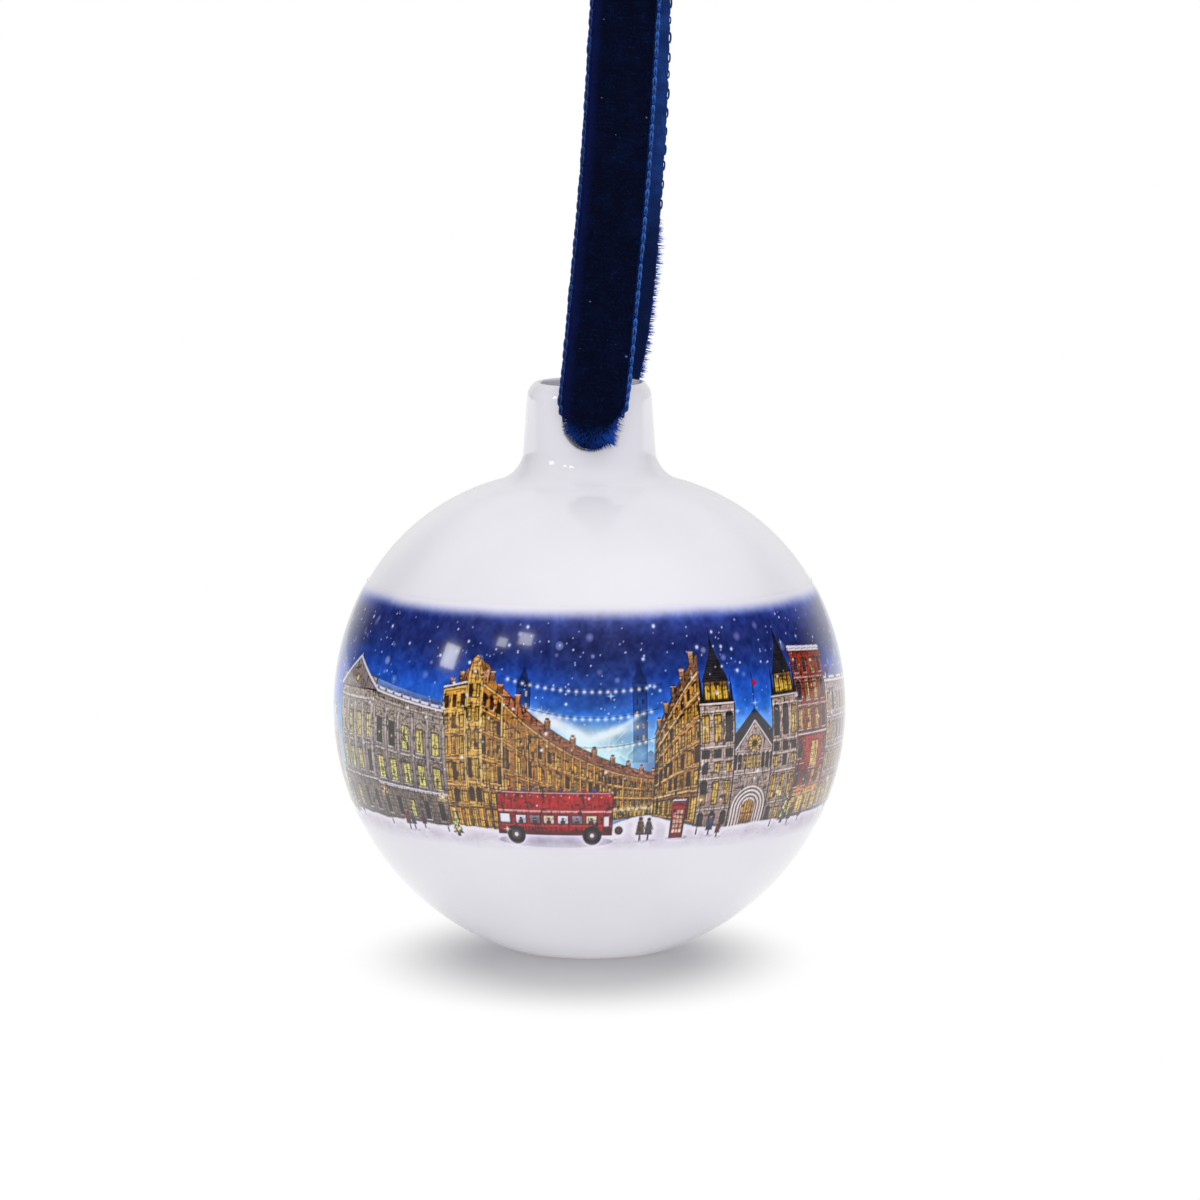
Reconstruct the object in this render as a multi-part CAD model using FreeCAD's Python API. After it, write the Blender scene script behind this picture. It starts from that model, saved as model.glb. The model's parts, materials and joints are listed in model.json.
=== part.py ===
"""Souvenir bauble: a slip-cast china ball with an open neck, a fired picture band and a velvet ribbon.

The ribbon is one length. It runs through two holes in the neck, front and back, and its ends are lapped and
sewn into a loop at the top. It flexes, so it is made in five lengths that meet face to face.

Frame, in millimetres: the origin is where a hook carries the loop, under the middle of its crest. +Z is up,
+X is to the right of the picture's front and +Y points away from that front. The loop leans, so the ball's
axis stands a little to the left of the origin. Heights named ..._H are measured up from the ball's centre.
"""

import FreeCAD, Part
import math
import os

# China ball, foot and shoulder
BALL_D = 70.0
FOOT_D = 20.0
SHOULDER_R = 30.0
SHOULDER_START_H = 15.0
CHINA_WALL = 2.2

# Neck, with its mouth and its two ribbon holes
RIM_ABOVE_BALL = 9.6
NECK_D = 17.5
NECK_DRAFT_DEG = 4.0
NECK_FILLET_R = 4.6
MOUTH_D = 13.5
LIP_R = 2.4
LIP_EDGE_R = 0.45
HOLE_D = 7.0
HOLE_BELOW_RIM = 5.0

# Picture band, a transfer fired over the glaze
BAND_TOP_H = 16.7
BAND_BOTTOM_H = -15.6
BAND_T = 0.08
BAND_SEAT = 0.02

# Velvet ribbon
RIBBON_W = 9.5
RIBBON_T = 1.3
RIBBON_GAP = 0.35
LOOP_RISE = 75.0
CREST_R = 4.5
CREST_TAIL = 14.0
KNEE_R = 120.0
SADDLE_RISE = 8.5
TONGUE_DROP = 3.0
LEAN_DEG = 4.3
SKEW_DEG = 5.5
RIBBON_SIDE = 1.3

# The stretch that is gathered to pass through the holes
GATHERED_W = 4.2
GATHERED_T = 2.2
GATHERED_CORNER_R = 1.0
GATHERED_DROP = 1.2

# Sewn lap of the ribbon's two ends, with two rows of stitches across it
LAP_LENGTH = 10.0
LAP_GAP = 0.02
STITCH_LENGTH = 1.3
STITCH_THICK = 0.3
STITCH_COUNT = 5
STITCH_ROWS = 2

# What follows from the sizes above
BALL_R = BALL_D / 2
RIM_H = BALL_R + RIM_ABOVE_BALL
HOLE_H = RIM_H - HOLE_BELOW_RIM
HOLE_Z = -LOOP_RISE
LEAN = math.tan(math.radians(LEAN_DEG))
BALL_X = HOLE_Z * LEAN - RIBBON_SIDE
BALL_Z = HOLE_Z - HOLE_H
AXIS = FreeCAD.Vector(BALL_X, 0, 0)
DRAFT = math.tan(math.radians(NECK_DRAFT_DEG))
LEG_Y = NECK_D / 2 + DRAFT * TONGUE_DROP + RIBBON_GAP + RIBBON_T / 2
CREST_MID_R = CREST_R + RIBBON_T / 2
KNEE_Z = HOLE_Z + SADDLE_RISE


def at(radius, height):
    """A point of a lathe outline, height above the ball's centre."""
    return FreeCAD.Vector(BALL_X + radius, 0, BALL_Z + height)


def neck_radius(height):
    return NECK_D / 2 - DRAFT * (height - HOLE_H)


def shoulder_centre():
    """The shoulder's arc leaves the ball's sphere smoothly, so its centre lies on that radius."""
    share = (BALL_R - SHOULDER_R) / BALL_R
    start_r = math.sqrt(BALL_R**2 - SHOULDER_START_H**2)
    return start_r * share, SHOULDER_START_H * share


def neck_blend(shoulder_r, fillet_r, foot_r, lean):
    """Centre of the arc that touches the shoulder's arc and the neck's wall.

    The wall passes foot_r at the holes' height and widens downwards by lean, a tangent.
    """
    centre_r, centre_h = shoulder_centre()
    slope = math.hypot(1, lean)
    reach = shoulder_r + fillet_r
    start = (foot_r + fillet_r / slope - centre_r, HOLE_H + fillet_r * lean / slope - centre_h)
    step = (lean / slope, -1 / slope)
    along = start[0] * step[0] + start[1] * step[1]
    down = -along - math.sqrt(along**2 - start[0] ** 2 - start[1] ** 2 + reach**2)
    return centre_r + start[0] + down * step[0], centre_h + start[1] + down * step[1]


def lip():
    """The rim's large outer rounding and its small inner one: the height where it starts, and both centres.

    The two arcs touch, and the small one ends on the mouth's wall and has its top at the rim's height.
    """
    edge_r = MOUTH_D / 2 + LIP_EDGE_R
    drop = LIP_R
    for _ in range(12):
        centre_r = neck_radius(RIM_H - drop) - LIP_R
        drop = LIP_EDGE_R + math.sqrt((LIP_R - LIP_EDGE_R) ** 2 - (edge_r - centre_r) ** 2)
    return RIM_H - drop, (centre_r, RIM_H - drop), (edge_r, RIM_H - LIP_EDGE_R)


def arc(start, end, centre):
    """The short arc from start to end about centre, all three as (radius, height)."""
    radius = math.dist(start, centre)
    middle = ((start[0] + end[0]) / 2 - centre[0], (start[1] + end[1]) / 2 - centre[1])
    share = radius / math.hypot(*middle)
    through = (centre[0] + middle[0] * share, centre[1] + middle[1] * share)
    return Part.Arc(at(*start), at(*through), at(*end)).toShape()


def line(start, end):
    return Part.LineSegment(at(*start), at(*end)).toShape()


def toward(start, end, distance):
    """The point at that distance from start, on the line to end."""
    share = distance / math.dist(start, end)
    return start[0] + (end[0] - start[0]) * share, start[1] + (end[1] - start[1]) * share


def china_body():
    """One lathe outline with the outer skin, the lip and the hollow, turned about Z, then the two holes."""
    centre = (0, 0)
    shoulder = shoulder_centre()
    foot_h = -math.sqrt(BALL_R**2 - (FOOT_D / 2) ** 2)
    join = (math.sqrt(BALL_R**2 - SHOULDER_START_H**2), SHOULDER_START_H)
    outer = neck_blend(SHOULDER_R, NECK_FILLET_R, NECK_D / 2, DRAFT)
    outer_low = toward(outer, shoulder, NECK_FILLET_R)
    slope = math.hypot(1, DRAFT)
    outer_high = (outer[0] - NECK_FILLET_R / slope, outer[1] - NECK_FILLET_R * DRAFT / slope)

    mouth_r = MOUTH_D / 2
    lip_h, lip_centre, edge_centre = lip()
    lip_outer = (lip_centre[0] + LIP_R, lip_h)
    lip_meet = toward(lip_centre, edge_centre, LIP_R)
    crest = (edge_centre[0], RIM_H)
    lip_inner = (mouth_r, edge_centre[1])

    inner_ball_r = BALL_R - CHINA_WALL
    inner_shoulder_r = SHOULDER_R - CHINA_WALL
    inner_fillet_r = NECK_FILLET_R + CHINA_WALL
    inner = neck_blend(inner_shoulder_r, inner_fillet_r, mouth_r, 0)
    inner_high = (mouth_r, inner[1])
    inner_low = toward(inner, shoulder, inner_fillet_r)
    inner_join = toward(centre, join, inner_ball_r)
    floor_h = foot_h + CHINA_WALL
    floor_r = math.sqrt(inner_ball_r**2 - floor_h**2)

    outline = Part.Wire(
        [
            line((0, foot_h), (FOOT_D / 2, foot_h)),
            arc((FOOT_D / 2, foot_h), (BALL_R, 0), centre),
            arc((BALL_R, 0), join, centre),
            arc(join, outer_low, shoulder),
            arc(outer_low, outer_high, outer),
            line(outer_high, lip_outer),
            arc(lip_outer, lip_meet, lip_centre),
            arc(lip_meet, crest, edge_centre),
            arc(crest, lip_inner, edge_centre),
            line(lip_inner, inner_high),
            arc(inner_high, inner_low, inner),
            arc(inner_low, inner_join, shoulder),
            arc(inner_join, (inner_ball_r, 0), centre),
            arc((inner_ball_r, 0), (floor_r, floor_h), centre),
            line((floor_r, floor_h), (0, floor_h)),
            line((0, floor_h), (0, foot_h)),
        ]
    )
    body = Part.Face(outline).revolve(AXIS, FreeCAD.Vector(0, 0, 1), 360)
    start = FreeCAD.Vector(BALL_X, -BALL_R, HOLE_Z)
    holes = Part.makeCylinder(HOLE_D / 2, BALL_D, start, FreeCAD.Vector(0, 1, 0))
    return body.cut(holes)


def picture_band():
    """A thin zone of a sphere that lies on the ball."""
    inner_r = BALL_R + BAND_SEAT
    outer_r = inner_r + BAND_T

    def edge(radius, height):
        return math.sqrt(radius**2 - height**2), height

    outline = Part.Wire(
        [
            arc(edge(outer_r, BAND_BOTTOM_H), edge(outer_r, BAND_TOP_H), (0, 0)),
            line(edge(outer_r, BAND_TOP_H), edge(inner_r, BAND_TOP_H)),
            arc(edge(inner_r, BAND_TOP_H), edge(inner_r, BAND_BOTTOM_H), (0, 0)),
            line(edge(inner_r, BAND_BOTTOM_H), edge(outer_r, BAND_BOTTOM_H)),
        ]
    )
    return Part.Face(outline).revolve(AXIS, FreeCAD.Vector(0, 0, 1), 360)


def lean_over(shape):
    """The loop leans to the right, and its back leg lies a little further right than its front leg."""
    lean = FreeCAD.Matrix()
    lean.A12 = math.tan(math.radians(SKEW_DEG))
    lean.A13 = LEAN
    return shape.transformGeometry(lean)


def strip(edges, offset=0.0, width=RIBBON_W):
    """A flat ribbon along edges that lie in the YZ plane, centred on them or that far outside them."""
    path = Part.Wire(edges)
    first = path.OrderedEdges[0]
    start = first.valueAt(first.FirstParameter)
    across = FreeCAD.Vector(1, 0, 0)
    outward = first.tangentAt(first.FirstParameter).cross(across)
    corners = [
        start + across * (x * width / 2) + outward * (offset + y * RIBBON_T / 2)
        for x, y in ((-1, -1), (1, -1), (1, 1), (-1, 1), (-1, -1))
    ]
    solid = path.makePipeShell([Part.makePolygon(corners)], True, False)
    flat = path.Length * width * RIBBON_T
    print(f"ribbon length {path.Length:.2f}, volume {solid.Volume:.2f}, section times length {flat:.2f}")
    return solid


def leg_line():
    """The straight run of a leg: its slope, where it leaves the knee's arc and where it meets the crest's.

    The run touches both arcs, so the loop is smooth. Points are (distance from the middle, z).
    """
    across = KNEE_R - LEG_Y
    up = -CREST_R - KNEE_Z
    tilt = math.atan2(up, across) - math.acos((KNEE_R - CREST_MID_R) / math.hypot(across, up))
    cosine = math.cos(tilt)
    sine = math.sin(tilt)
    knee = (LEG_Y - KNEE_R + KNEE_R * cosine, KNEE_Z + KNEE_R * sine)
    crest = (CREST_MID_R * cosine, -CREST_R + CREST_MID_R * sine)
    return tilt, knee, crest


def ribbon_loop():
    """The crest over the hook, with a tail down each side, and the two legs below it."""
    tilt, knee, crest = leg_line()
    tail = toward(crest, knee, CREST_TAIL)
    half = tilt / 2
    knee_middle = (LEG_Y - KNEE_R + KNEE_R * math.cos(half), KNEE_Z + KNEE_R * math.sin(half))

    def point(side, place):
        return FreeCAD.Vector(0, side * place[0], place[1])

    def run(side, start, end):
        return Part.LineSegment(point(side, start), point(side, end)).toShape()

    over = Part.Arc(point(-1, crest), FreeCAD.Vector(0, 0, RIBBON_T / 2), point(1, crest)).toShape()
    made = {"ribbon_crest": strip([run(-1, tail, crest), over, run(1, crest, tail)])}
    for side, name in ((-1, "ribbon_front_leg"), (1, "ribbon_back_leg")):
        bend = Part.Arc(point(side, (LEG_Y, KNEE_Z)), point(side, knee_middle), point(side, knee))
        made[name] = strip([bend.toShape(), run(side, knee, tail)])
    lap_end = toward(crest, knee, LAP_LENGTH)
    made["ribbon_lap"] = strip([run(1, crest, lap_end)], -RIBBON_T - LAP_GAP)
    print(f"radii: crest {CREST_MID_R:.2f}, knees {KNEE_R:.1f}")
    return {name: lean_over(shape) for name, shape in made.items()}


def lap_stitches():
    """Rows of short stitches across the lap's outer face."""
    tilt, knee, crest = leg_line()
    pitch = RIBBON_W / STITCH_COUNT
    stitches = []
    for row in range(STITCH_ROWS):
        y, z = toward(crest, knee, LAP_LENGTH * (row + 0.5) / STITCH_ROWS)
        for number in range(STITCH_COUNT):
            x = (number - (STITCH_COUNT - 1) / 2) * pitch
            corner = FreeCAD.Vector(
                -STITCH_LENGTH / 2, 1.5 * RIBBON_T + 2 * LAP_GAP, -STITCH_THICK / 2
            )
            stitch = Part.makeBox(STITCH_LENGTH, STITCH_THICK, STITCH_THICK, corner)
            stitch.rotate(FreeCAD.Vector(), FreeCAD.Vector(1, 0, 0), math.degrees(tilt))
            stitch.translate(FreeCAD.Vector(x, y, z))
            stitches.append(stitch)
    return lean_over(Part.makeCompound(stitches))


def tongue(side):
    """The ribbon's flat end on the neck's wall. Its round foot narrows towards the hole."""
    half = RIBBON_W / 2
    low = HOLE_Z - TONGUE_DROP
    y = side * LEG_Y - RIBBON_T / 2
    left, bottom, right = (FreeCAD.Vector(x, y, z) for x, z in ((-half, low + half), (0, low), (half, low + half)))
    top_left = FreeCAD.Vector(-half, y, KNEE_Z)
    top_right = FreeCAD.Vector(half, y, KNEE_Z)
    outline = Part.Wire(
        [
            Part.Arc(left, bottom, right).toShape(),
            Part.LineSegment(right, top_right).toShape(),
            Part.LineSegment(top_right, top_left).toShape(),
            Part.LineSegment(top_left, left).toShape(),
        ]
    )
    return lean_over(Part.Face(outline).extrude(FreeCAD.Vector(0, RIBBON_T, 0)))


def ribbon_saddle():
    """The stretch that carries the china: two tongues, and the ribbon gathered between them in the neck."""
    corner = FreeCAD.Vector(BALL_X - GATHERED_W / 2, -LEG_Y, HOLE_Z - GATHERED_DROP - GATHERED_T / 2)
    gathered = Part.makeBox(GATHERED_W, 2 * LEG_Y, GATHERED_T, corner)
    long_edges = [e for e in gathered.Edges if abs(e.tangentAt(e.FirstParameter).y) > 0.5]
    gathered = gathered.makeFillet(GATHERED_CORNER_R, long_edges)
    return gathered.fuse([tongue(-1), tongue(1)]).removeSplitter()


def main():
    os.makedirs("parts", exist_ok=True)
    nodes = {
        "china_body": china_body(),
        "picture_band": picture_band(),
        "ribbon_saddle": ribbon_saddle(),
        **ribbon_loop(),
        "lap_stitches": lap_stitches(),
    }
    for name, shape in nodes.items():
        shape.exportStep(f"parts/{name}.step")
        low, high = shape.BoundBox.ZMin, shape.BoundBox.ZMax
        print(f"{name}: {len(shape.Solids)} solid, {shape.Volume:.2f} mm3, z {low:.2f} to {high:.2f}")


if __name__ == "__main__":
    main()
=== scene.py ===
"""Souvenir bauble on a velvet ribbon: the looks of its china, its fired print and its ribbon.

Lengths inside the functions are millimetres and are turned into metres as a mesh is made. Heights on the
china and on the print are measured from the ball's centre, and angles round it from the print's front.
"""

import json
import math

import bmesh
import bpy
import numpy as np
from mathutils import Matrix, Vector

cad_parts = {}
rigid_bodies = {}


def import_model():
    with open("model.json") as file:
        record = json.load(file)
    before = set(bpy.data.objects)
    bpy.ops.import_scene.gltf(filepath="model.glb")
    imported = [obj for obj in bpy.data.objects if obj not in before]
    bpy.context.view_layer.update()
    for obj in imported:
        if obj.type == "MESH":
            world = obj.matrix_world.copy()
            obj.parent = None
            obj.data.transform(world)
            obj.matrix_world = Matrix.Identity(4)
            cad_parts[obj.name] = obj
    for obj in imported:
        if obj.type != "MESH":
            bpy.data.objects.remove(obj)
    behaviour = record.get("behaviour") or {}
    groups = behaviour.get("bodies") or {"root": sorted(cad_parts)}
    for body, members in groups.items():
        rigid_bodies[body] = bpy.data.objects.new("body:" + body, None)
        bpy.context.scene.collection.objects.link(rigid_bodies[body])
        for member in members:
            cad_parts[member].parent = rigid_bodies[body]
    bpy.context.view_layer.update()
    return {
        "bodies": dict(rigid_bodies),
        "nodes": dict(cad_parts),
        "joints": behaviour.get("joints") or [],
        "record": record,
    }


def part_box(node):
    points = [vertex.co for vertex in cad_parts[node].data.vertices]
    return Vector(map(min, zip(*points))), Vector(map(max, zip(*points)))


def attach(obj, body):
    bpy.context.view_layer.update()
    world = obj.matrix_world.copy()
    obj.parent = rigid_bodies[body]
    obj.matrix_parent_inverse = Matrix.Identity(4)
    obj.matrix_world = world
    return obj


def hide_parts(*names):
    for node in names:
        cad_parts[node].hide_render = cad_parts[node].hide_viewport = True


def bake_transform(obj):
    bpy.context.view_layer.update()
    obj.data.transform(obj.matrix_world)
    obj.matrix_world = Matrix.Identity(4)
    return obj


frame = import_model()

bl_info = {
    "name": "Ribbon Bauble",
    "version": (1, 0, 0),
    "blender": (4, 5, 0),
    "location": "3D View > Sidebar > Bauble",
    "description": "Builds a china bauble with a fired town print and a velvet ribbon round its packed frame",
    "category": "Add Mesh",
}

MM = 0.001
CHINA_LOW, CHINA_HIGH = (np.array(corner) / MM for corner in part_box("china_body"))
FOOT_R = 10.0
BALL_R = (CHINA_HIGH[0] - CHINA_LOW[0]) / 2
AXIS_X = (CHINA_HIGH[0] + CHINA_LOW[0]) / 2
FOOT_H = -math.sqrt(BALL_R**2 - FOOT_R**2)
BALL_Z = CHINA_LOW[2] - FOOT_H
RIM_H = CHINA_HIGH[2] - BALL_Z
BALL_CENTRE = np.array([AXIS_X, 0, BALL_Z])
TOP_BODY, LOW_BODY, BALL_BODY = "ribbon_top", "ribbon_low", "bauble"


# ------------------------------------------------------------------ sizes and colours a user would change

def length(name, description, default):
    return bpy.props.FloatProperty(
        name=name, description=description, default=default * MM, unit="LENGTH", precision=5
    )


def colour(name, description, default):
    return bpy.props.FloatVectorProperty(
        name=name, description=description, default=default, subtype="COLOR", size=3, min=0, max=1
    )


class ChinaSettings(bpy.types.PropertyGroup):
    """The ball, its neck and its glaze."""

    wall: length("Wall", "Thickness of the china", 2.2)
    neck_d: length("Neck diameter", "Outer diameter of the neck at the ribbon holes", 17.5)
    mouth_d: length("Mouth diameter", "Inner diameter of the neck", 13.5)
    hole_d: length("Hole diameter", "Diameter of the two ribbon holes", 7.0)
    glaze: colour("Glaze", "Colour of the glazed china", (0.835, 0.818, 0.880))
    biscuit: colour("Bare foot", "Colour of the unglazed ring it stands on", (0.74, 0.71, 0.66))


class PrintSettings(bpy.types.PropertyGroup):
    """The picture that is fired round the ball."""

    top: length("Top edge", "Height of its upper edge above the ball's centre", 17.5)
    bottom: length("Bottom edge", "Height of its lower edge above the ball's centre", -15.6)
    cell: length("Cell", "Size of the smallest dot of the print", 0.125)
    seed: bpy.props.IntProperty(
        name="Seed", description="Seed for snow, windows and figures", default=11, min=0
    )


class RibbonSettings(bpy.types.PropertyGroup):
    """The velvet ribbon, its pile and its woven edges."""

    width: length("Width", "Width of the ribbon over its woven edges", 9.5)
    selvedge: length("Woven edge", "Width of the plain woven edge at each side", 0.55)
    pile: length("Pile", "Length of the pile above its dense mass", 0.42)
    pile_density: bpy.props.FloatProperty(
        name="Pile density", description="Loose fibre tips on a square millimetre", default=20.0, min=0
    )
    scallop: length("Scallop pitch", "Distance between the loops of the edge thread", 1.25)
    velvet: colour("Velvet", "Colour deep in the pile", (0.0012, 0.0022, 0.0105))
    tips: colour("Pile tips", "Colour of the pile's tips in the light", (0.006, 0.035, 0.20))
    edge: colour("Edge thread", "Colour of the thread along the woven edges", (0.038, 0.18, 0.66))


class StageSettings(bpy.types.PropertyGroup):
    """The floor, the lamps and the camera."""

    distance: length("Camera distance", "From the camera to the ball's centre", 1200.0)
    elevation: bpy.props.FloatProperty(
        name="Camera elevation", description="Angle of the camera above level", default=math.radians(7.0),
        subtype="ANGLE",
    )
    view_width: length("View width", "Width of the field at the ball's centre", 164.4)
    lamp_level: bpy.props.FloatProperty(
        name="Lamp level", description="Scales every lamp", default=1.0, min=0
    )


# ------------------------------------------------------------------ meshes and trees

def linked(name, data):
    """An object of the scene with that data."""
    made = bpy.data.objects.new(name, data)
    bpy.context.scene.collection.objects.link(made)
    return made


def mesh_piece(name, points, faces, smooth=True):
    """A linked object with that mesh; points are millimetres, faces an array of quads or a list."""
    mesh = bpy.data.meshes.new(name)
    points = np.asarray(points, np.float32) * MM
    if isinstance(faces, np.ndarray):
        mesh.vertices.add(len(points))
        mesh.vertices.foreach_set("co", points.ravel())
        mesh.loops.add(faces.size)
        mesh.loops.foreach_set("vertex_index", faces.astype(np.int32).ravel())
        mesh.polygons.add(len(faces))
        mesh.polygons.foreach_set("loop_start", np.arange(0, faces.size, faces.shape[1], dtype=np.int32))
        mesh.update(calc_edges=True)
    else:
        mesh.from_pydata(points.tolist(), [], faces)
    mesh.validate()
    mesh.shade_smooth() if smooth else mesh.shade_flat()
    return linked(name, mesh)


def grid_faces(rows, columns, closed=False):
    """Quads over a grid of points, row by row; closed joins the last column to the first."""
    row, column = np.meshgrid(
        np.arange(rows - 1), np.arange(columns if closed else columns - 1), indexing="ij"
    )
    first, second = row * columns + column, row * columns + (column + 1) % columns
    return np.stack([first, second, second + columns, first + columns], axis=-1).reshape(-1, 4)


def weld(piece, distance):
    """Merges the doubled points of a closed shell and turns every face outwards."""
    shell = bmesh.new()
    shell.from_mesh(piece.data)
    bmesh.ops.remove_doubles(shell, verts=shell.verts, dist=distance * MM)
    bmesh.ops.recalc_face_normals(shell, faces=shell.faces)
    shell.to_mesh(piece.data)
    shell.free()
    piece.data.update()


def mark(piece, name, values, kind="FLOAT"):
    """Stores one value a point as a named attribute."""
    attribute = piece.data.attributes.new(name, kind, "POINT")
    field = {"FLOAT": "value", "FLOAT_VECTOR": "vector", "FLOAT_COLOR": "color"}[kind]
    attribute.data.foreach_set(field, np.asarray(values, np.float32).ravel())


def find_socket(sockets, key):
    """The socket at that index, or with that identifier or name."""
    if isinstance(key, int):
        return sockets[key]
    named_so = [socket for socket in sockets if socket.name == key and socket.enabled]
    return ([socket for socket in sockets if socket.identifier == key] + named_so)[0]


def binary(operation, swapped=False):
    """A method that joins a Signal and another value with a Math node."""
    return lambda self, other: self.maths(operation, *((other, self) if swapped else (self, other)))


class Signal:
    """A socket of a tree. Arithmetic on it adds Math nodes, and node() adds any other kind."""

    def __init__(self, tree, socket=None):
        self.tree = tree
        self.socket = socket

    def node(self, kind, settings=(), out=0, **inputs):
        """Adds a node. Settings are set first; an input is named by its key, with _0 for the first socket."""
        made = self.tree.nodes.new(kind)
        for name, value in dict(settings).items():
            setattr(made, name, value)
        for key, value in inputs.items():
            socket = find_socket(made.inputs, int(key[1:]) if key[0] == "_" else key)
            if isinstance(value, Signal):
                self.tree.links.new(value.socket, socket)
            else:
                socket.default_value = value
        return Signal(self.tree, find_socket(made.outputs, out)) if len(made.outputs) else Signal(self.tree)

    def outputs(self, *keys):
        """Other sockets of the same node."""
        return [Signal(self.tree, find_socket(self.socket.node.outputs, key)) for key in keys]

    def maths(self, operation, *values, clamp=False):
        settings = {"operation": operation, "use_clamp": clamp}
        return self.node("ShaderNodeMath", settings, **{f"_{i}": v for i, v in enumerate(values)})

    __add__ = __radd__ = binary("ADD")
    __sub__, __rsub__ = binary("SUBTRACT"), binary("SUBTRACT", swapped=True)
    __mul__ = __rmul__ = binary("MULTIPLY")
    __pow__ = binary("POWER")

    def __abs__(self):
        return self.maths("ABSOLUTE", self)

    def clamp(self):
        return self.maths("ADD", self, 0.0, clamp=True)

    def wave(self):
        """Its sine, from 0 to 1."""
        return self.maths("SINE", self) * 0.5 + 0.5

    def between(self, low, high):
        """0 below low, 1 above high, smooth between."""
        return self.node(
            "ShaderNodeMapRange", {"interpolation_type": "SMOOTHSTEP"}, Value=self, _1=low, _2=high
        )

    def mix(self, first, second):
        """The first colour where this is 0 and the second where it is 1."""
        return self.node(
            "ShaderNodeMix", {"data_type": "RGBA"}, out="Result_Color", Factor_Float=self,
            A_Color=opaque(first), B_Color=opaque(second),
        )

    def parts(self):
        return self.node("ShaderNodeSeparateXYZ", _0=self).outputs("X", "Y", "Z")

    def noise(self, scale, detail=2.0, roughness=0.5, out="Fac"):
        return self.node(
            "ShaderNodeTexNoise", out=out, Vector=self, Scale=scale, Detail=detail, Roughness=roughness
        )


def opaque(value):
    return value if isinstance(value, Signal) or len(value) == 4 else (*value, 1.0)


def material(name, slot_colour):
    """A new material, and its empty tree as a Signal."""
    made = bpy.data.materials.new(name)
    made.use_nodes = True
    made.diffuse_color = opaque(slot_colour)
    made.node_tree.nodes.clear()
    return made, Signal(made.node_tree)


def principled(tree, bump=None, strength=1.0, distance=0.0001, **inputs):
    """A Principled surface on the material's output, with an optional height that feeds its normal."""
    if bump is not None:
        inputs["Normal"] = tree.node(
            "ShaderNodeBump", Strength=strength, Distance=distance, Height=bump, out="Normal"
        )
    spaced = {key.replace("_", " "): value for key, value in inputs.items()}
    tree.node("ShaderNodeOutputMaterial", Surface=tree.node("ShaderNodeBsdfPrincipled", **spaced))


def object_place(tree):
    return tree.node("ShaderNodeTexCoord", out="Object")


def attribute(tree, name, out="Fac"):
    return tree.node("ShaderNodeAttribute", {"attribute_name": name}, out=out)


def named(tree, name, kind="FLOAT"):
    """A named attribute, read inside Geometry Nodes."""
    return tree.node("GeometryNodeInputNamedAttribute", {"data_type": kind}, out="Attribute", Name=name)


def store(shape, name, value):
    settings = {"data_type": "FLOAT", "domain": "POINT"}
    return shape.node(
        "GeometryNodeStoreNamedAttribute", settings, out="Geometry", Geometry=shape, Name=name, Value=value
    )


def chance(tree, low, high, seed):
    settings = {"data_type": "FLOAT"}
    return tree.node(
        "FunctionNodeRandomValue", settings, out="Value_001", Min_001=low, Max_001=high, Seed=seed
    )


def geometry_tree(name, **inputs):
    """A Geometry Nodes tree with a Geometry input and output, and a named input of each kind given."""
    tree = bpy.data.node_groups.new(name, "GeometryNodeTree")
    for key, kind in {"Geometry": "Geometry", **inputs}.items():
        tree.interface.new_socket(key, in_out="INPUT", socket_type=f"NodeSocket{kind}")
    tree.interface.new_socket("Geometry", in_out="OUTPUT", socket_type="NodeSocketGeometry")
    entry = Signal(tree).node("NodeGroupInput")
    return tree, entry, dict(zip(inputs, entry.outputs(*inputs)))


def close_tree(geometry, finish):
    """Ends a Geometry Nodes tree: real geometry with its material."""
    real = geometry.node("GeometryNodeRealizeInstances", Geometry=geometry)
    dressed = real.node("GeometryNodeSetMaterial", Geometry=real, Material=finish)
    dressed.node("NodeGroupOutput", Geometry=dressed)


def grow(name, source, tree, **inputs):
    """Runs a tree on a source object, takes the source away and returns a plain smooth piece."""
    modifier = source.modifiers.new(name, "NODES")
    modifier.node_group = tree
    for item in tree.interface.items_tree:
        if item.in_out == "INPUT" and item.name != "Geometry":
            modifier[item.identifier] = inputs[item.name]
    source.update_tag()
    evaluated = source.evaluated_get(bpy.context.evaluated_depsgraph_get())
    mesh = bpy.data.meshes.new_from_object(evaluated)
    source.modifiers.remove(modifier)
    discard(source)
    mesh.name = name
    mesh.shade_smooth()
    return linked(name, mesh)


def discard(piece):
    data = piece.data
    bpy.data.objects.remove(piece)
    (bpy.data.curves if isinstance(data, bpy.types.Curve) else bpy.data.meshes).remove(data)


def place(piece, *nodes, body=BALL_BODY, slot):
    """Says which body the piece rides on and which nodes it stands for; its slot, meant to name its finish, is
    not used.
    """
    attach(piece, body)
    if nodes:
        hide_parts(*nodes)


# ------------------------------------------------------------------ china

COLUMNS = 192
HOLE_COLUMNS = 22
SHOULDER_R = 30.0
SHOULDER_H = 15.0
FILLET_R = 4.6
DRAFT = math.tan(math.radians(4.0))
LIP_R = 2.4
LIP_EDGE_R = 0.45
HOLE_H = RIM_H - 5.0
EDGE_R = 0.3


def arc_points(start, end, centre, count):
    """Points on the short arc from start to end, both included, each (radius, height)."""
    first = math.atan2(start[1] - centre[1], start[0] - centre[0])
    turn = math.atan2(end[1] - centre[1], end[0] - centre[0]) - first
    angles = first + ((turn + math.pi) % (2 * math.pi) - math.pi) * np.arange(count + 1) / count
    return np.array(centre) + math.dist(start, centre) * np.stack([np.cos(angles), np.sin(angles)], axis=1)


def toward(start, end, reach):
    """The point that far from start on the way to end."""
    return start + (end - start) * reach / math.dist(start, end)


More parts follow.
